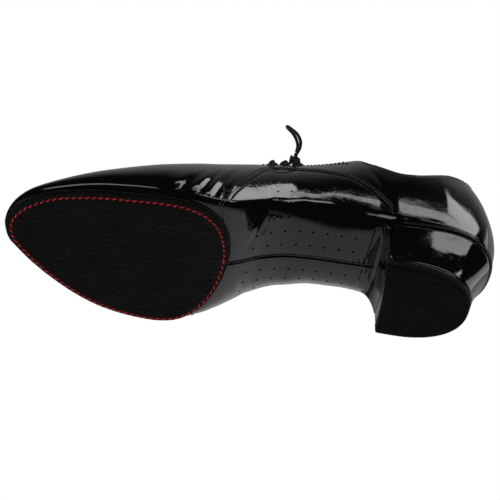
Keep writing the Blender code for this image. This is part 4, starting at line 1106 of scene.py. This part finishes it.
# %% The red lockstitch
line = sole_edge(900)
line = inset_loop(line, stitch_inset(line[:, 1]))
line = np.concatenate([line[4:], line[:9]])
at = np.column_stack([line, sole_bottom(line[:, 0]) + 0.0005])
down = np.tile([0, 0, -1.0], (len(at), 1))
sewn = stitch_row("red_sole_lockstitch", at, down, 0.0039, 0.0033, 0.0005, RED_THREAD, skew=0.0011)
fit(sewn, at_the_ball, "outsole_stitching")

# %% [markdown]
# ## The heel
#
# A block heel is moulded plastic covered with the same patent leather. The leather is wrapped round
# from the back and its ends overlap just behind the corners of the breast, the hollow front face.
# The outline is found for each height, made round at the corners by averaging it with its
# neighbours, and the rings are then joined.

# %% The heel's outline at a height
HEEL_HEIGHT, TOP_PIECE, TIP_LENGTH, TIP_WIDTH = 0.038, 0.005, 0.055, 0.0536
RING_POINTS = 320


SEAT_HALF = 0.0306  # half the heel's width where it meets the shoe
SIDE_HOLLOW = 0.0012  # how far the sides and back are drawn in half way up
BREAST_SKEW = 0.0036  # the tip's front is further forward on the arch side
BREAST_DISH = 0.0014  # depth of the hollow front


def heel_section(height, inset=0.0):
    """The hollow, half the width and the front at a share of the heel's height."""
    hollow = np.sin(np.pi * height) * SIDE_HOLLOW
    wide = TIP_WIDTH / 2 + (SEAT_HALF - TIP_WIDTH / 2) * height**1.2 - hollow - inset
    front = TIP_LENGTH / 2 - 0.0001 - 0.0026 * height - hollow * 0.6 - inset
    return hollow, wide, front


def breast_x(height, front, across):
    """The hollow front, where `across` runs from -1 on the outer side to 1 on the arch side."""
    return front + BREAST_SKEW * (1 - height) * across - BREAST_DISH * (1 - across**2)


def heel_ring(height, inset):
    """Round behind, straight sides and a hollow front; a share of the heel's height picks the ring."""
    hollow, wide, front = heel_section(height, inset)
    back = -TIP_LENGTH / 2 + (SEAT_BACK + 0.0006 + TIP_LENGTH / 2) * height**1.1 + hollow * 1.5 + inset
    skew = BREAST_SKEW * (1 - height)
    widest = 0.016 - 0.02 * height
    breast_w = wide * (1 - 0.07 * height)
    turn = np.linspace(np.pi / 2, -np.pi / 2, 300)
    x = widest - (widest - back) * np.abs(np.cos(turn)) ** (2 / 2.3)
    y = wide * np.sign(np.sin(turn)) * np.abs(np.sin(turn)) ** (2 / 2.3)
    share = np.linspace(0, 1, 60)[1:]
    side_y = wide + (breast_w - wide) * share**2
    lateral = np.stack([widest + (front - skew - widest) * share, -side_y], 1)
    medial = np.stack([widest + (front + skew - widest) * share, side_y], 1)[::-1]
    across = np.linspace(-1, 1, 90)[1:-1]
    breast = np.stack([breast_x(height, front, across), across * breast_w], 1)
    ring = np.concatenate([np.stack([x, y], 1), lateral, breast, medial])
    loop = np.concatenate([ring, ring[:1]])
    step = distances(loop)
    at = np.linspace(0, step[-1], RING_POINTS, endpoint=False)
    ring = np.stack([np.interp(at, step, loop[:, i]) for i in range(2)], 1)
    for _ in range(5):
        ring = (np.roll(ring, 1, 0) + 2 * ring + np.roll(ring, -1, 0)) / 4
    return ring


def heel_rings(levels, inset):
    """One ring for each level in metres, at that height."""
    insets = np.broadcast_to(inset, np.shape(levels))
    return np.array([np.column_stack([heel_ring(np.clip(z / HEEL_HEIGHT, 0, 1), i), np.full(RING_POINTS, z)])
                     for z, i in zip(levels, insets)])


# %% The cover, with its lapped ends
levels = np.linspace(TOP_PIECE + 0.0002, HEEL_HEIGHT, 70)
outer = heel_rings(levels, 0.0)
way = outer - outer.mean(1, keepdims=True)
way[..., 2] = 0
way = unit(way)
share = outer[..., 2] / HEEL_HEIGHT
lap = np.where(outer[..., 1] > 0, 0.0278 - 0.0062 * share, 0.0206 + 0.001 * share)
lap = lap + 0.0002 * np.sin(share * 17)
behind = np.clip((lap - outer[..., 0]) / 0.0003, 0, 1)
lifted = 0.00055 * behind
wave = 0.0001 * np.sin(outer[..., 0] / 0.0047 + outer[..., 2] * 130) * bell(outer[..., 2] - 0.022, 0.012)
dent = 0.00012 * bell(outer[..., 0] + 0.012, 0.006) * bell(outer[..., 2] - 0.027, 0.006)
turned_in = 0.0007 * (bell(outer[..., 2] - levels[0], 0.0009) + bell(outer[..., 2] - levels[-1], 0.0012))
outer = outer + way * (lifted + wave * behind - dent * behind - turned_in - 0.0003)[..., None]
cover = slab("heel_patent_cover", outer, outer - way * 0.0008, PATENT_HEEL, loop=True)
fit(cover, "rearfoot", "heel_cover")

# %% The flap from the breast on to the waist
across, t = np.linspace(-1, 1, 81)[None], np.linspace(0, 1, 40)[:, None]


def breast_at(height):
    """Points across the heel's front at a share of its height."""
    _, wide, front = heel_section(height)
    y = across * wide * (1 - 0.07 * height) * 0.97
    return np.stack([breast_x(height, front, across), y, np.full(across.shape, HEEL_HEIGHT * height)], -1)


start, bend = breast_at(0.45)[0], breast_at(1.0)[0]
bend[:, 2] += 0.0012
sides = np.where(across[0] < 0, -1, 1)
finish_x = station(np.full(81, 33.5) + 2.0 * (1 - across[0] ** 2))
end, normal = outward(finish_x, np.radians(-90 + 62 * np.abs(across[0])), sides)
end = end + normal * 0.0001
grid = start * ((1 - t) ** 2)[..., None] + bend * (2 * t * (1 - t))[..., None] + end * (t**2)[..., None]
grid[..., 0] += 0.00008 * np.sin(grid[..., 1] / 0.0021 + 7 * t) * np.sin(np.pi * t)
way = unit(np.cross(np.gradient(grid, axis=0), np.gradient(grid, axis=1)))
way *= np.sign(way[..., :1] - way[..., 2:])
flap = slab("heel_breast_flap", grid, grid - way * 0.0007, PATENT_HEEL)
fit(flap, "rearfoot")

# %% The top piece, with its bright lacquered rim
def capped(name, rings, finish):
    """A solid through rings, each end closed by a flat grid of rings drawn in to the middle."""
    columns = rings.shape[1]
    shrink = np.linspace(1, 0, 12)[1:-1]
    ends = []
    for ring in (rings[0], rings[-1]):
        centre = ring.mean(0)
        ends.append(np.array([centre + (ring - centre) * s for s in shrink]))
    grid = np.concatenate([ends[0][::-1], rings, ends[1]])
    count = grid.shape[0] * columns
    faces = quads(grid.shape[0], columns, 0, True).tolist()
    faces += [list(range(columns))[::-1], [count - columns + c for c in range(columns)]]
    points = grid.reshape(-1, 3)
    flat = np.stack([points[:, 0], points[:, 1]], 1) / MM
    return piece(name, points, faces, finish, flat, weld=0, sharp=None)


levels = np.array([0.0, 0.0001, 0.0004, 0.0009, 0.0016, 0.0028, 0.004, 0.0047, 0.005])
draw_in = np.array([0.0013, 0.0009, 0.0005, 0.0003, 0.0002, 0.0002, 0.0002, 0.0003, 0.0006])
rings = heel_rings(levels, draw_in)
rings[1:-1, :, :2] += rng.normal(0, 0.00003, rings[1:-1, :, :2].shape)
top_piece = capped("heel_suede_top_piece", rings, TOP_SUEDE)
fit(top_piece, "rearfoot", "heel_top_piece")
rim_line = heel_rings(np.array([0.0051]), 0.0006)[0]
rim_line = np.concatenate([rim_line, rim_line[:1]])
rim = tube("heel_lacquered_rim", rim_line, 0.0007, PATENT_HEEL, 10, closed=True)
fit(rim, "rearfoot")
spots = rng.integers(0, RING_POINTS, 2400)
here = heel_rings(np.array([0.0012]), 0.0003)[0][spots]
way = unit(here - here.mean(0)) + rng.normal(0, 0.4, here.shape)
here[:, 2] = rng.uniform(0.0009, 0.0042, len(here))
lengths = rng.uniform(0.00015, 0.00045, len(here))
fuzz = fibres("top_piece_edge_fibres", here, way, lengths, 0.00004, TOP_SUEDE)
fit(fuzz, "rearfoot")

# %% The seat rim between upper and heel
at = heel_rings(np.array([HEEL_HEIGHT]), -0.0004)[0]
breast = int(np.argmax(at[:, 0] + 0.1 * (np.abs(at[:, 1]) < 0.012)))
at = np.roll(at, -breast, axis=0)
at = at[at[:, 0] < 0.019]
at[:, 2] = HEEL_HEIGHT + 0.0009
rand = tube("heel_seat_rim", smooth_path(at, 260), 0.0009, PATENT_HEEL, 12, squash=0.8)
fit(rand, "rearfoot")

# %% [markdown]
# ## Inside the shoe
#
# Because the sole is split, the footbed is too: a cushioned sock under the heel and another under
# the ball. Each cushion is foam that thins towards its rim, and the cloth sock lies on it. The
# seat board, nails and screw below them keep their solids and get a real finish.

# %% Plates that follow the underside
def plate(name, start, end, side_gap, lift, thickness, finish):
    """A plate inside the form: it follows the underside, `lift` above it, out to the inner wall."""
    length, t = np.linspace(-1, 1, 70), np.cos(np.pi * np.linspace(0, 1, 31))
    f = np.linspace(station(start), station(end), len(length))
    under, widest, _ = heights(f)
    room = widest - under - INSIDE * (1 - np.exp(-(widest - under) / 0.0012))
    drop = np.clip((widest - under - lift) / np.maximum(room, 1e-4), 0, 0.97)
    medial, lateral = skin(f, -np.arcsin(drop), 1, INSIDE), skin(f, -np.arcsin(drop), -1, INSIDE)
    end_round = np.clip(1 - length**12, 0, 1) ** 0.5
    middle = (medial[:, 1] + lateral[:, 1]) / 2
    half = ((medial[:, 1] - lateral[:, 1]) / 2 - side_gap) * np.maximum(end_round, 0.55)
    y = middle[:, None] + half[:, None] * t
    x = np.broadcast_to(medial[:, :1], y.shape)
    to_rim = np.minimum((1 - np.abs(t)) * 6, 1)[None] * np.minimum((1 - np.abs(length)) * 12, 1)[:, None]
    low = under[:, None] + lift + 0 * y
    high = low + thickness * (0.6 + 0.4 * to_rim)
    flat = np.stack([x, y], -1) / MM
    return slab(name, np.stack([x, y, high], -1), np.stack([x, y, low], -1), finish, flat)


BED = 0.0044  # from the underside to the top of the lasted margin
# Each layer: its two ends in mm, its gap to the wall, its height above the underside, its thickness
FOOTBED = [("forefoot_filler", 136, 236, 0.008, 0.0003, 0.0026, BOARD, "board"),
           ("forefoot_insole", 124, 244, 0.0012, BED, 0.0018, BOARD, "board"),
           ("forefoot_cushion", 126, 232, 0.002, BED + 0.0021, 0.0022, FOAM, "foam"),
           ("forefoot_sock", 124, 235, 0.0012, BED + 0.0046, 0.0008, SOCK, "textile"),
           ("heel_cushion", -38, 15, 0.002, BED + 0.0031, 0.0022, FOAM, "foam"),
           ("heel_sock", -39, 16, 0.0012, BED + 0.0056, 0.0008, SOCK, "textile")]
for node, start, end, gap, lift, thick, finish, slot in FOOTBED:
    made = plate(node.replace("_", "_inner_"), start, end, gap, lift, thick, finish)
    fit(made, at_the_ball if node.startswith("forefoot") else "rearfoot", node)
print("footbed layers:", len(FOOTBED))

# %% Finishes for the solids that stay
# The counter and the seat board are fibre board too, but their edges show through the narrow gap
# between the quarters at the back and through the mouth, so here they are given black cloth.
KEPT = {"heel_seat_board": LINING, "toe_puff": BOARD, "heel_counter": LINING, "heel_block": HEEL_PLASTIC,
        "heel_screw": STEEL, **{f"heel_nail_{i}": STEEL for i in range(1, 5)}}
for node, finish in KEPT.items():
    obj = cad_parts[node]
    obj.data.materials.clear()
    obj.data.materials.append(finish)
print("kept solids:", ", ".join(KEPT))

# %% [markdown]
# ## Tongue, eyelets and lace
#
# The tongue is a thin leather strip under the facings. Each eyelet is a turned metal ring, a
# profile carried once round. One lace runs through all six eyelets, crosses twice over the tongue and
# is tied in a bow on the top pair.

# %% Tongue
TONGUE_EDGE = 58.0  # degrees: where the tongue's rim lies under the facing


def tongue_grid(columns, rows):
    """Rows from the toe end up to the rounded top; columns from one rim over the ridge."""
    start = TONGUE_EDGE
    angle = np.concatenate([np.linspace(start, 90, columns), np.linspace(90, start, columns)[1:]])
    side = np.where(np.arange(len(angle)) < columns, 1, -1)
    back = 36 - 6 * np.cos(np.radians(90 - angle) * 2.4)
    t = np.linspace(0, 1, rows)[:, None]
    f = station(114 + (back - 114) * t)
    return f, np.broadcast_to(angle, f.shape), np.broadcast_to(side, f.shape), t


TONGUE_DEPTH = INSIDE + 0.002 + 0.0009
f, angle, side, t = tongue_grid(26, 90)
edge_share = np.clip((angle - TONGUE_EDGE) / 4, 0, 1)
sag = 0.00035 * np.sin(place(f) / 9.0) * bell(angle - 78, 16)
outer = skin(f, np.radians(angle), side, TONGUE_DEPTH + sag + 0.0005 * (1 - edge_share))
inner = skin(f, np.radians(angle), side, TONGUE_DEPTH + 0.0018)
tongue = rounded(slab("leather_tongue", outer, inner, patent("tongue_leather", 110.0, 0.0003)), 0.0004, 3)
fit(tongue, at_the_waist, "tongue")

# %% Binding round the topline
x, angle = top_run(700)
keep = x < 31.5
x, angle = x[keep][4:], angle[keep][4:]
sides = []
for side in (1, -1):
    rim_at = skin(station(x), np.radians(angle), side, LEATHER)
    lower = skin(station(x), np.radians(angle - 0.5), side, LEATHER)
    sides.append(rim_at + unit(rim_at - lower) * 0.0013)
path = smooth_path(np.concatenate([sides[0][::-2], sides[1][::2]]), 300)
binding = tube("topline_rolled_binding", path, 0.00105, PATENT, 14, squash=0.95)
fit(binding, "rearfoot", "topline_binding")

# %% Eyelets
def turned(name, profile, at, axis, finish, sides=40):
    """A profile of (radius, height) carried once round an axis."""
    turn = np.linspace(0, 2 * np.pi, sides, endpoint=False)
    ring = np.array([[(r * np.cos(a), r * np.sin(a), h) for a in turn] for r, h in profile])
    matrix = np.array(Vector(axis).to_track_quat("Z", "Y").to_matrix())
    points = ring.reshape(-1, 3) @ matrix.T + np.asarray(at)
    faces = quads(len(profile), sides, 0, True)
    last = (len(profile) - 1) * sides
    c = np.arange(sides)
    close = np.stack([last + c, last + (c + 1) % sides, (c + 1) % sides, c], -1)
    return piece(name, points, np.concatenate([faces, close]), finish, sharp=60)


deep = -(LINING_DEPTH + LINING_THICK)
RING = [(0.0015, deep), (0.0015, 0.0004), (0.00155, 0.0007), (0.0018, 0.0009), (0.0021, 0.00095),
        (0.0024, 0.0008), (0.00262, 0.0005), (0.0027, 0.0001), (0.0027, 0), (0.002, 0), (0.002, deep)]
for side, word in BOTH_SIDES:
    for index, x in enumerate(LACE_PLACES):
        at, normal = outward(station(x), math.radians(EYELET_ANGLE), side)
        ring = turned(f"enamelled_eyelet_{word}_{index + 1}", RING, at + normal * 0.0005, normal, ENAMEL)
        fit(ring, "waist", f"eyelet_{word}_{index + 1}")

# %% The lace's route
def on_form(points):
    """Points given as (mm, degrees from the arch side over the ridge, mm above the leather)."""
    found = []
    for x, angle, rise in points:
        side = 1 if angle <= 90 else -1
        at, normal = outward(station(x), math.radians(angle if side > 0 else 180 - angle), side)
        found.append(at + normal * rise * MM)
    return np.array(found)


LACE_WIDTH = 0.002
rise = LACE_WIDTH / MM / 2 + 0.5  # mm above the leather, where the lace lies on it
under = -(INSIDE / MM + LACE_WIDTH / MM / 2)  # and where it lies on the lining, under the facing


def strand(start, end, middle):
    """From one eyelet down, under its facing, over the gap and the other facing to the next."""
    (x, angle), (to_x, to_angle) = start, end
    turn = 1 if to_angle > angle else -1
    down = [(x, angle, rise + 1.1), (x, angle, -1.5), (x, angle, under + 1.2)]
    over = [(0.06, angle + turn * 3.5, under), (0.16, angle + turn * 10, under),
            (0.36, 90 - turn * 5, (under + middle) / 2 + 0.4), (0.5, 90, middle + 0.6),
            (0.72, 90 + turn * 11, rise + 0.4), (0.84, to_angle - turn * 6, rise + 1.2)]
    return down + [(x + (to_x - x) * share, at_angle, up) for share, at_angle, up in over]


KNOT = (79, 77.5, 6.1)
MEDIAL_LOOP = [(-0.7, 4.1, 1.5), (-1.3, 9.2, 1.4), (-0.5, 13.8, 1.6), (2.4, 17.5, 2.9), (6.4, 18.8, 5.4),
               (8.7, 17.8, 8.7), (8.1, 15.4, 10.8), (4.5, 12.4, 11.1), (0.8, 8.8, 9.3), (-0.8, 5.4, 6.6),
               (-0.4, 2.6, 4.3)]
LATERAL_LOOP = [(1.6, -4.2, 1.6), (5.4, -9.5, 4.2), (7.6, -16.5, 4.8), (6.4, -23.5, 2.2),
                (2.4, -26.8, 0), (-1.8, -24.5, 0.6), (-4, -18, 3.2), (-3.4, -10.5, 4.0),
                (-1.6, -4.4, 2.4)]
FRONT_END = [(83, 80, 4.6), (88.4, 88, 4.0), (95.6, 96, 3.6), (102.6, 104, 2.5), (110, 112, 1.7),
             (117, 120, 1.6), (123, 129, 1.6), (127, 139, 1.6)]
REAR_END = [(75.4, 82, 5.2), (73, 92, 3.6), (72.4, 103, 2.5), (73, 115, 1.9), (75, 127, 1.8),
            (77.5, 138, 1.8), (80, 148, 1.8)]


# %% The laced part
low, high = EYELET_ANGLE, 180 - EYELET_ANGLE
first, second, third = LACE_PLACES
one = strand((third, low), (second, high), -3.4) + strand((second, high), (first, low), -3.4)
two = strand((third, high), (second, low), -0.7) + strand((second, low), (first, high), -0.7)
one += [(first, low, rise + 1.1), (first, low, -1.5), (first, low, under + 1.2),
        (first + 0.3, low + 4, under), (first + 0.2, low + 12, under + 0.6),
        (first, low + 15, -1.6), (first - 0.4, low + 14, 1.5)]
two += [(first, high, rise + 1.1), (first, high, -1.5), (first, high, under + 1.2),
        (first + 0.2, high - 4, under), (first + 0.2, high - 12, under + 0.4),
        (first, high - 24, -0.6), (first - 0.6, high - 31, 2.2)]
bar = [(third + 1, low + 6, rise + 1.1), (third + 1.4, low + 14, rise - 0.4), (third + 1.4, 90, -0.4),
       (third + 1.4, high - 14, rise - 0.4), (third + 1, high - 6, rise + 1.1)]
route = smooth_path(on_form(one[::-1] + bar + two), 520)
laced = tube("black_lace", route, LACE_WIDTH / 2, LACE, 14)
fit(laced, "waist", "lace")

# %% The knot, two wraps of lace pulled tight round the crossing
knot = on_form([KNOT])[0]
turn = np.linspace(0, 2 * np.pi * 2.15, 160)
coil = np.stack([0.0023 * np.cos(turn) + 0.0004 * np.sin(turn / 2), np.linspace(-0.0016, 0.0016, 160),
                 0.0019 * np.sin(turn)], 1)
tied = tube("bow_knot_wraps", coil + knot, 0.00095, LACE, 14)
parts = [tied]
exits = [knot + np.array(shape[end]) * MM for shape in (MEDIAL_LOOP, LATERAL_LOOP) for end in (0, -1)]
exits += [on_form(FRONT_END[:1])[0], on_form(REAR_END[:1])[0]]
for number, out in enumerate(exits):
    path = smooth_path(np.array([knot - (out - knot) * 0.15, knot + (out - knot) * 0.45, out]), 16)
    parts.append(tube(f"bow_knot_strand_{number + 1}", path, 0.00096, LACE, 12))
for obj in parts:
    fit(obj, "waist")
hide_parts("lace_knot")

# %% The bow's loops and ends
def free_lace(name, path, node):
    """A stretch of lace that hangs free: its route is also its length and its way out."""
    made = tube(name, path, LACE_WIDTH / 2, LACE, 14)
    fit(made, "waist", node)


for word, shape in (("medial", MEDIAL_LOOP), ("lateral", LATERAL_LOOP)):
    path = smooth_path(knot + np.array(shape) * MM, 120)
    free_lace(f"bow_loop_{word}", path, f"lace_loop_{word}")
for word, shape in (("front", FRONT_END), ("rear", REAR_END)):
    count = 270
    path = smooth_path(on_form(shape), count)
    split = int(count * 7 / 9)  # the tag takes the last part
    tag = tube(f"lace_tag_{word}", path[split:], LACE_WIDTH / 2 + 0.00015, ENAMEL, 16)
    fit(tag, "waist", f"lace_tip_{word}")
    free_lace(f"bow_end_{word}", path[: split + 1], f"lace_end_{word}")

# %% [markdown]
# ## Floor, world and lights
#
# The shoe stands on a plain pale floor. The camera looks from below the floor, so the floor is
# glass-clear from behind: its finish asks which side is seen. Black lacquer shows only what it
# mirrors. The world is white to the camera, but in the leather it is nearly black, with a grey
# glow behind the shoe and below it, and a few soft boxes put the bright shapes on the leather.

# %% Floor
FLOOR_HALF, FLOOR_DROP = 3.0, 0.0002
floor_mesh = bpy.data.meshes.new("floor")
corners = [(x * FLOOR_HALF, y * FLOOR_HALF, 0) for x, y in ((-1, -1), (1, -1), (1, 1), (-1, 1))]
floor_mesh.from_pydata(corners, [], [(0, 1, 2, 3)])
floor = new_object("floor", floor_mesh)
floor.location.z = -FLOOR_DROP
made, tree, shader = finish_material("pale_floor", (0.86, 0.86, 0.86), Roughness=0.7)
clear = add(tree, "ShaderNodeBsdfTransparent")
which = add(tree, "ShaderNodeNewGeometry").outputs["Backfacing"]
mix = add(tree, "ShaderNodeMixShader", {0: which, 1: shader.outputs[0], 2: clear.outputs[0]})
tree.links.new(mix.outputs[0], tree.nodes["Material Output"].inputs["Surface"])
floor_mesh.materials.append(made)
floor.visible_shadow = floor.visible_glossy = floor.visible_diffuse = floor.visible_transmission = False

# %% World
world = bpy.data.worlds.new("studio")
bpy.context.scene.world = world
world.use_nodes = True
tree = world.node_tree
background = tree.nodes["Background"]
direction = add(tree, "ShaderNodeTexCoord").outputs["Generated"]


def towards(way, start, end, level):
    """Light that grows from nothing to `level` as a direction turns towards `way`."""
    facing = add(tree, "ShaderNodeVectorMath", {0: direction, 1: tuple(way)}, operation="DOT_PRODUCT")
    return sums(tree, "MULTIPLY", spread(tree, facing.outputs["Value"], start, end), level)


paper, table = towards(-back_way, 0.45, 0.85, 0.21), towards(-up_way, 0.22, 0.5, 0.36)
glow = sums(tree, "ADD", sums(tree, "ADD", paper, table), 0.008)
seen = add(tree, "ShaderNodeLightPath").outputs["Is Camera Ray"]
level = add(tree, "ShaderNodeMix", {"Factor": seen, 2: glow, 3: 1.0}, data_type="FLOAT").outputs[0]
tree.links.new(level, background.inputs["Strength"])
background.inputs["Color"].default_value = (1, 1, 1, 1)


# %% Soft boxes
def soft_box(name, way, long_way, width, height, bright, distance=1.5, glossy=True):
    """A rectangle of even light that faces the shoe. `way` and `long_way` are right, up and towards
    the camera; the power follows from the brightness and the area."""
    turn = Matrix((right_way, up_way, back_way)).transposed()
    way, long_way = (turn @ Vector(way)).normalized(), turn @ Vector(long_way)
    across = (long_way - way * long_way.dot(way)).normalized()
    data = bpy.data.lights.new(name, "AREA")
    data.shape, data.size, data.size_y = "RECTANGLE", width, height
    data.energy = bright * math.pi * width * height
    obj = new_object(name, data)
    axes = Matrix((across, way.cross(across), way)).transposed().to_4x4()
    obj.matrix_world = Matrix.Translation(Vector((0.1, 0, 0.04)) + way * distance) @ axes
    obj.visible_glossy = glossy


soft_box("side_box", (0.6, 0.68, -0.42), (0.78, -0.62, 0.08), 0.62, 0.26, 2.0)
soft_box("edge_box", (0.6, 0.74, -0.315), (0.78, -0.62, 0.02), 1.25, 0.08, 2.0)
soft_box("heel_box", (0.7, 0.7, 0.08), (0.75, -0.66, 0.0), 1.05, 0.26, 2.2)
soft_box("top_box", (-0.2, 0.74, 0.6), (1, 0.2, 0), 1.2, 0.5, 1.7)
soft_box("right_panel", (0.78, 0.05, -0.6), (0, 1, 0), 0.8, 0.45, 0.5)
soft_box("front_fill", (-0.3, -0.2, 1.0), (1, 0, 0), 1.2, 1.0, 1.7, glossy=False)
bpy.context.scene.view_settings.view_transform = "Standard"
bpy.context.scene.view_settings.look = "None"
